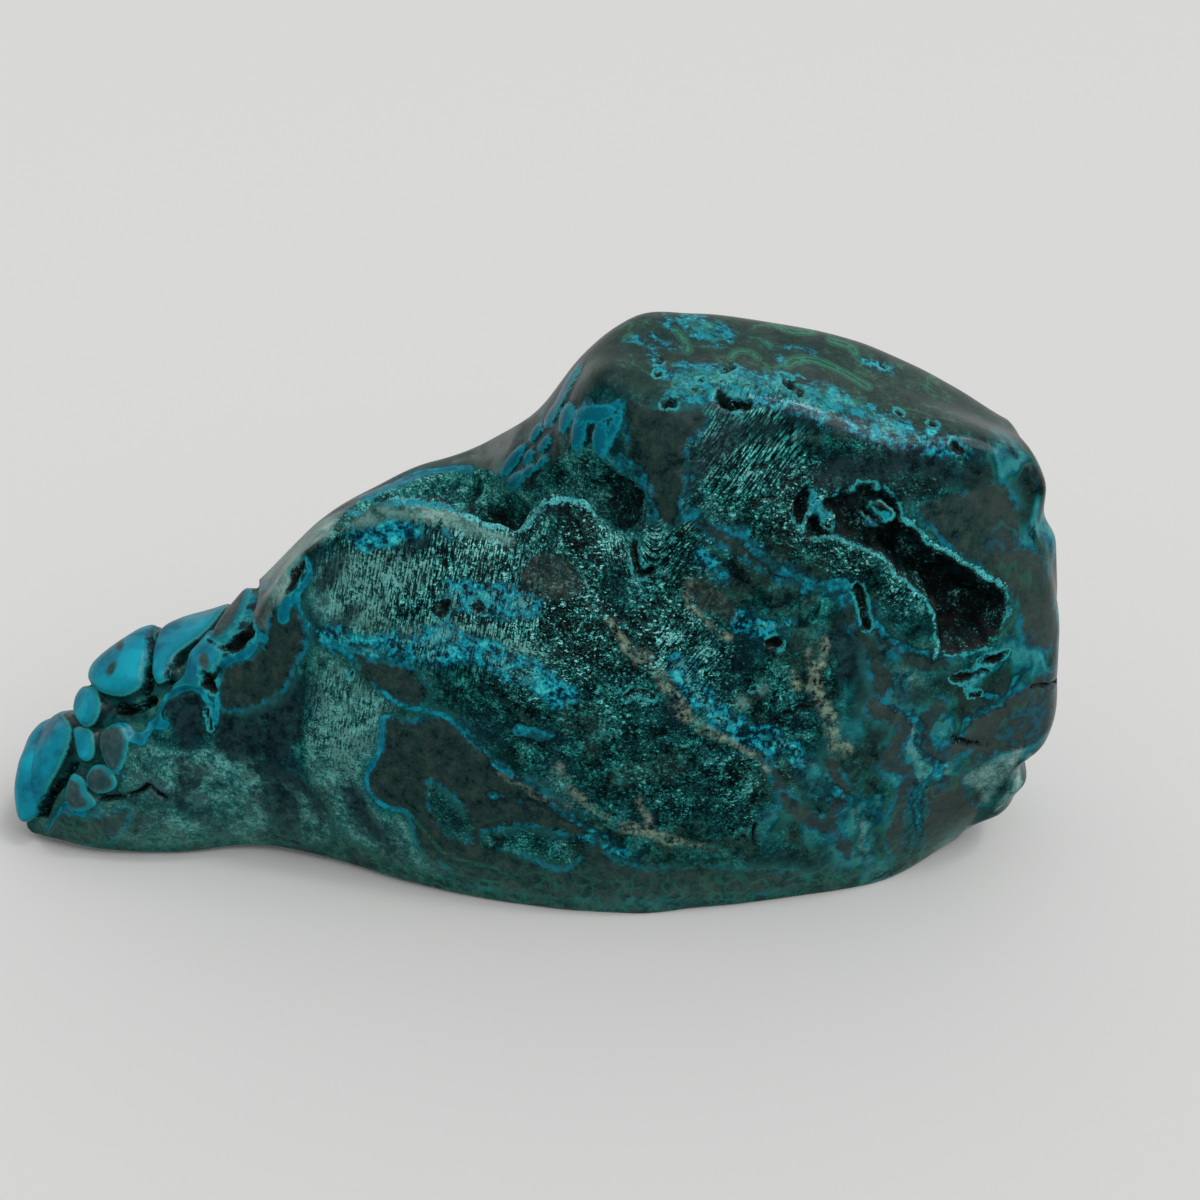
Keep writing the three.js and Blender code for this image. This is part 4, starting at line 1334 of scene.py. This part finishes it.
# %% Flowing bands
flow_place = rock.vector("MULTIPLY", place, (1.0, 1.0, 0.5))
flow_noise = rock.noise(flow_place, 0.045, 4.0, 0.55)
flow_level = (flow_noise * 34.0 + (small - 0.5) * 0.8).sine() + (other - 0.5) * 1.0
FLOW = [
    (-0.60, ink(38, 54, 50)),
    (-0.10, ink(26, 62, 56)),
    (0.05, ink(28, 96, 84)),
    (0.25, ink(6, 70, 80)),
    (0.60, ink(6, 104, 124)),
    (1.10, ink(60, 162, 164)),
]
flow = flow_share * (patchy + (middling - 0.5) * 0.6).rise(0.30, 0.50)
colour = rock.mix(flow * 0.85, colour, rock.ramp(flow_level, FLOW))

# %% Blotches of blue lace
bluest = rock.stored("bluest")
blotch_sway = 1.3 - crown_share * 0.9 - flow_share * 0.5 - bluest * 0.6
blotch_edge = rock.stored("blotch") + wander * blotch_sway + fray * crown_share * 1.4
blotch = blotch_edge.rise(0.7, -0.5)
BLUES = [
    (-0.30, ink(2, 34, 50)),
    (-0.08, ink(2, 70, 92)),
    (0.06, ink(1, 116, 138)),
    (0.22, ink(3, 158, 174)),
    (0.50, ink(66, 206, 206)),
]
blue_level = (other - 0.5) * 2.6 + (small - 0.5) * 2.2 - 0.06 + bluest * 0.18
CORE = [
    (-0.40, ink(4, 34, 44)),
    (-0.10, ink(10, 84, 90)),
    (0.15, ink(30, 124, 126)),
    (0.50, ink(100, 190, 186)),
]
core = (patchy + (small - 0.5) * 0.8).rise(0.44, 0.56).most(crown_share * 0.8)
core = blotch_edge.rise(-0.5, -1.6) * core * (1.0 - bluest)
blotch_look = rock.mix(core * 0.85, rock.ramp(blue_level, BLUES), rock.ramp(level + 0.1, CORE))
lace_bend = rock.vector("SCALE", rock.noise(place, 0.5, 3.0, colour=True), 3.0)
lace_place = rock.vector("ADD", place, lace_bend)
lace_width = rock.node("ShaderNodeTexVoronoi", {"feature": "DISTANCE_TO_EDGE"},
                       {"Vector": lace_place, "Scale": 0.34})
lace = lace_width.rise(0.10, 0.03) * (other + (small - 0.5) * 0.6).rise(0.46, 0.54)
blotch_look = rock.mix(lace * 0.7, blotch_look, ink(6, 150, 172))
SMOOTH = [
    (-0.50, ink(22, 56, 60)),
    (0.00, ink(34, 84, 86)),
    (0.40, ink(26, 112, 118)),
    (0.90, ink(92, 152, 144)),
]
blotch_look = rock.mix(flow_share.rise(0.1, 0.6) * 0.8, blotch_look, rock.ramp(flow_level, SMOOTH))
broken = (blue_level + core * 0.5 + flow_share + bluest * 0.2).rise(-0.20, -0.04)
colour = rock.mix(blotch * 0.55 * (1.0 - crown_share), colour, ink(3, 40, 54))
colour = rock.mix(blotch * broken * 0.95, colour, blotch_look)
report("bands and lace")

# %% [markdown]
# ## Islands, streaks and ribbons
# Malachite grew in rounds, so an island has a nearly black olive body, faint onion rings inside, a
# thin blue rim and a pale halo outside. All four come from the one stored distance, read at four
# widths. Where bands flow, their blues show through the island as wisps, and thin green threads
# cross it. Ribbons have a dark shadow beside them, and streaks of clay break up over the druse.

# %% Islands, wisps and threads
island_edge = rock.stored("island") + wander * 0.8
island = island_edge.rise(0.22, -0.22)
ISLAND = [
    (-0.30, ink(6, 34, 36)),
    (-0.05, ink(34, 58, 56)),
    (0.20, ink(52, 70, 65)),
]
island_level = (middling - 0.5) * 1.5 + (small - 0.5) * 0.6 + (tiny - 0.5) * 0.3
island_look = rock.ramp(island_level + flow_share * 0.12 - 0.04, ISLAND)
island_look = rock.mix(flow_share * 0.5, island_look, ink(66, 76, 74))
onion = (island_edge * 3.0).sine().rise(0.6, 1.0) * patchy.rise(0.54, 0.64)
island_look = rock.mix(onion * 0.35, island_look, ink(34, 90, 74))
halo = island_edge.rise(2.4, 0.3) * broad.rise(0.42, 0.58)
colour = rock.mix(halo * 0.28, colour, ink(56, 142, 138))
colour = rock.mix(island, colour, island_look)
rim = abs(island_edge - 0.05).rise(0.8, 0.10) * patchy.rise(0.44, 0.58)
rim_look = rock.ramp(other, [(0.40, ink(1, 74, 92)), (0.58, ink(2, 128, 152))])
colour = rock.mix(rim * 0.7, colour, rim_look)
wisps = flow_level.rise(0.25, 0.70) * flow_share * island
wisps = wisps * (other + (small - 0.5) * 0.8).rise(0.44, 0.56)
wisp_look = rock.ramp(other, [(0.46, ink(14, 46, 62)), (0.60, ink(8, 96, 118))])
colour = rock.mix(wisps * 0.7, colour, wisp_look)
threads = (flow_noise * 60.0).sine().rise(0.80, 1.0)
colour = rock.mix(threads * flow_share * broad.rise(0.42, 0.54) * 0.45, colour, ink(38, 116, 98))

# %% Taupe patches and streaks of clay
taupe = (rock.stored("taupe") + wander * 0.6 + fray).rise(0.8, -0.8)
TAUPE = [
    (-0.35, ink(12, 34, 35)),
    (-0.10, ink(34, 50, 48)),
    (0.15, ink(56, 68, 63)),
    (0.50, ink(96, 118, 108)),
]
colour = rock.mix(taupe * 0.8, colour, rock.ramp((small - 0.5) * 1.8 + (other - 0.5) * 1.4, TAUPE))
tan_edge = rock.stored("tan") + wander * 0.5 + breaking * 1.5 + fray * 1.2
tan = tan_edge.rise(0.45, -0.35) * (other + (small - 0.5) * 1.2).rise(0.34, 0.54)
TAN = [
    (-0.30, ink(40, 52, 49)),
    (-0.08, ink(80, 88, 80)),
    (0.15, ink(116, 140, 122)),
    (0.45, ink(158, 182, 158)),
]
tan_look = rock.ramp((other - 0.5) * 1.8 + (small - 0.5) * 1.4, TAN)
colour = rock.mix(tan * 0.72, colour, tan_look)

# %% Ribbons and bright bands
ribbon_edge = rock.stored("ribbon") + wander * 0.6 + breaking * 4.5 + 0.25
ribbon = ribbon_edge.rise(0.18, -0.18)
RIBBON = [
    (-0.35, ink(4, 38, 48)),
    (-0.08, ink(16, 78, 84)),
    (0.12, ink(4, 118, 138)),
    (0.45, ink(48, 176, 186)),
]
ribbon_look = rock.ramp((other - 0.5) * 1.6 + (small - 0.5) * 0.9, RIBBON)
beside = ribbon_edge.rise(0.9, 0.2) * (1.0 - ribbon)
colour = rock.mix(beside * 0.6, colour, ink(3, 34, 42))
colour = rock.mix(ribbon, colour, ribbon_look)

BRIGHT = [
    (-0.35, ink(40, 96, 98)),
    (0.00, ink(104, 152, 146)),
    (0.35, ink(156, 192, 182)),
]
# Pale bands: partly pale mineral, partly a painted sheen along the plate's top and on the right
# bulge.
bright_level = (middling - 0.5) * 0.8 + (small - 0.5) * 0.4 + (broad - 0.5) * 1.6
bright = (rock.stored("bright") + wander * 0.7 + fray * 1.2).rise(0.8, -0.7)
bright = bright * ((speckle + (middling - 0.5) * 0.8).rise(0.38, 0.56) * 0.5 + 0.42)
colour = rock.mix(bright, colour, rock.ramp(bright_level, BRIGHT))

# %% Painted light at the foot, green bands, crusts and veins
# Painted light: the stone is lighter towards its bottom, as light bounced up from the table makes
# it.
bounce_light_look = rock.ramp(island_level, [(-0.25, ink(34, 80, 77)), (0.25, ink(74, 104, 96))])
colour = rock.mix(foot * 0.48, colour, bounce_light_look)

lacy = lace_width.rise(0.12, 0.03) * foot * patchy.rise(0.42, 0.52)
colour = rock.mix(lacy * 0.45, colour, ink(38, 124, 104))

green_edge = rock.stored("green") + wander * 0.25
green = green_edge.rise(0.30, -0.15) * ((green_edge * 11.0).sine().rise(-0.4, 0.5) * 0.7 + 0.3)
swirl = threads * crown_share * patchy.rise(0.48, 0.56)
colour = rock.mix(swirl * 0.5, colour, ink(40, 122, 96))
colour = rock.mix(green * 0.6, colour, ink(50, 146, 116))

crust_edge = rock.stored("crust") + wander * 0.5 + (small - 0.5) * 2.6 + breaking * 1.2
crust = crust_edge.rise(0.30, 0.0)
crust_look = rock.ramp((tiny - 0.5) * 2.0, [(-0.3, ink(6, 134, 150)), (0.3, ink(110, 216, 212))])
colour = rock.mix(crust * 0.9, colour, crust_look)

vein_edge = rock.stored("vein") + wander * 0.22 + (small - 0.5) * 0.5
VEIN = [
    (-0.30, ink(2, 84, 104)),
    (0.05, ink(2, 116, 138)),
    (0.35, ink(14, 150, 170)),
]
vein_look = rock.ramp((other - 0.5) * 1.6 + vein_edge.rise(-0.45, -0.05) * 0.2, VEIN)
colour = rock.mix(vein_edge.rise(0.55, 0.05) * 0.45, colour, ink(8, 84, 92))
vein = vein_edge.rise(0.14, -0.10)
colour = rock.mix(vein, colour, vein_look)
report("islands and ribbons")

# %% [markdown]
# ## Lumps, petals and what lines the pits
# The nose's lumps are pure turquoise with a lighter rim, where the polish thins the skin, and a few
# have an olive heart. Pits are lined with druse that catches light on single crystals, under
# painted shade that grows nearly black towards their middle, and their brink is bleached to a
# bright line.
# They come last, because they cut through all the rest.

# %% Lumps, petals and pebbles
heart_edge = rock.stored("heart") + fray * 0.4
LUMP = [
    (-0.30, ink(0, 100, 124)),
    (0.00, ink(0, 137, 162)),
    (0.35, ink(0, 163, 186)),
]
lump_look = rock.ramp((broad - 0.5) * 2.4, LUMP)
lump_look = rock.mix(lump_edge.rise(-1.1, -0.2) * 0.55, lump_look, ink(8, 118, 118))
lump_look = rock.mix(lump_edge.rise(-0.35, -0.05) * 0.6, lump_look, ink(40, 166, 168))
heart_look = rock.ramp((middling - 0.5) * 2.0, [(-0.3, ink(36, 58, 54)), (0.3, ink(72, 84, 76))])
lump_look = rock.mix(heart_edge.rise(0.45, -0.35) * 0.9, lump_look, heart_look)
colour = rock.mix(lump_edge.rise(0.12, -0.12), colour, lump_look)
cell_edge = rock.stored("cell") + (small - 0.5) * 1.3
cell = cell_edge.rise(0.12, -0.12)
cell_look = rock.mix(cell_edge.rise(-0.5, -0.1), ink(1, 108, 130), ink(10, 150, 168))
colour = rock.mix(cell, colour, cell_look)

# %% Pits and open rock
# Painted shade: a pit's wall darkens to nearly black towards its middle, where single crystals
# still glint.
pit_edge = rock.stored("pit") + fray * 0.9
pit_wall = pit_edge.rise(0.10, -0.40)
brink = abs(pit_edge - 0.15).rise(0.36, 0.08) * other.rise(0.44, 0.52)
PIT_SHADE = [
    (-0.35, ink(1, 8, 10)),
    (0.02, ink(4, 28, 30)),
    (0.30, ink(14, 88, 88)),
    (0.60, ink(120, 200, 190)),
]
DRUSY = [
    (-0.50, ink(1, 12, 14)),
    (-0.12, ink(3, 50, 52)),
    (0.12, ink(10, 98, 98)),
    (0.42, ink(34, 154, 150)),
    (0.85, ink(136, 216, 206)),
]
cavern = glints * 0.75 - pores * 0.45 + (tiny - 0.5) * 2.0
cavern = cavern + (small - 0.5) * 1.2 + (middling - 0.5) * 2.4
# Painted shade: the druse is darker inside the caves.
cave_shade = rock.stored("cave")
drusy = rock.ramp(cavern * 0.9 + 0.20 - cave_shade * 0.60 + (patchy - 0.5) * 1.4, DRUSY)
colour = rock.mix(open_share * 0.95 * (1.0 - cell), colour, drusy)
colour = rock.mix(vein * open_share, colour, vein_look)
colour = rock.mix(brink * 0.8 * rock.stored("edged"), colour, ink(44, 166, 170))
hollow = cavern - glints * 0.40 - 0.24 + (patchy - 0.5) * 1.4
colour = rock.mix(pit_wall * 0.95, colour, rock.ramp(hollow, PIT_SHADE))
report("nose and pits")

# %% [markdown]
# ## Shine and grain
# Polish takes on solid malachite and fails on druse and in the openings, so roughness follows the
# same masks as the colour. Grain finer than the mesh is a bump of a quarter of a millimetre at
# most. The relief itself is in the skin, so the bump only has to break up the reflections.

# %% Shine and grain
dullness = rock.blend(druse_share * 0.7, 0.12, 0.34)
dullness = rock.blend(pale * 0.5, dullness, 0.30)
dullness = rock.blend((open_share + pit_wall).least(1.0), dullness, 0.5)
dullness = rock.blend(lumpy_share, dullness, 0.26)
dullness = rock.blend(middling.rise(0.45, 0.75) * 0.25, dullness, 0.40)
grain = (small - 0.5) * 0.15 + (speckle - 0.5) * (druse_share * 1.2 + 0.06)
grain = grain + (tiny - 0.5) * (druse_share * 0.4 + open_share * 0.8 + pit_wall * 0.8)
grain = grain + (saw_lines - 0.5) * sawn_share * 0.5
bumps = rock.node(
    "ShaderNodeBump", sockets={"Height": grain, "Strength": 1.0, "Distance": 0.25 * MM}
)
polish = rock.node(
    "ShaderNodeBsdfPrincipled",
    sockets={
        "Base Color": colour,
        "Roughness": dullness,
        "Normal": bumps,
        "IOR": 1.5,
        "Specular IOR Level": 0.26,
    },
)
rock.node("ShaderNodeOutputMaterial", sockets={"Surface": polish})
stone_mesh.materials.append(stone_paint)
report("the whole material")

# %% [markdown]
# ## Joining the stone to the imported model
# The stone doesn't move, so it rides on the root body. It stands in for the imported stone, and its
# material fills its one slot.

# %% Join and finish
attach(stone, "root")
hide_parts("chrysocolla_stone")

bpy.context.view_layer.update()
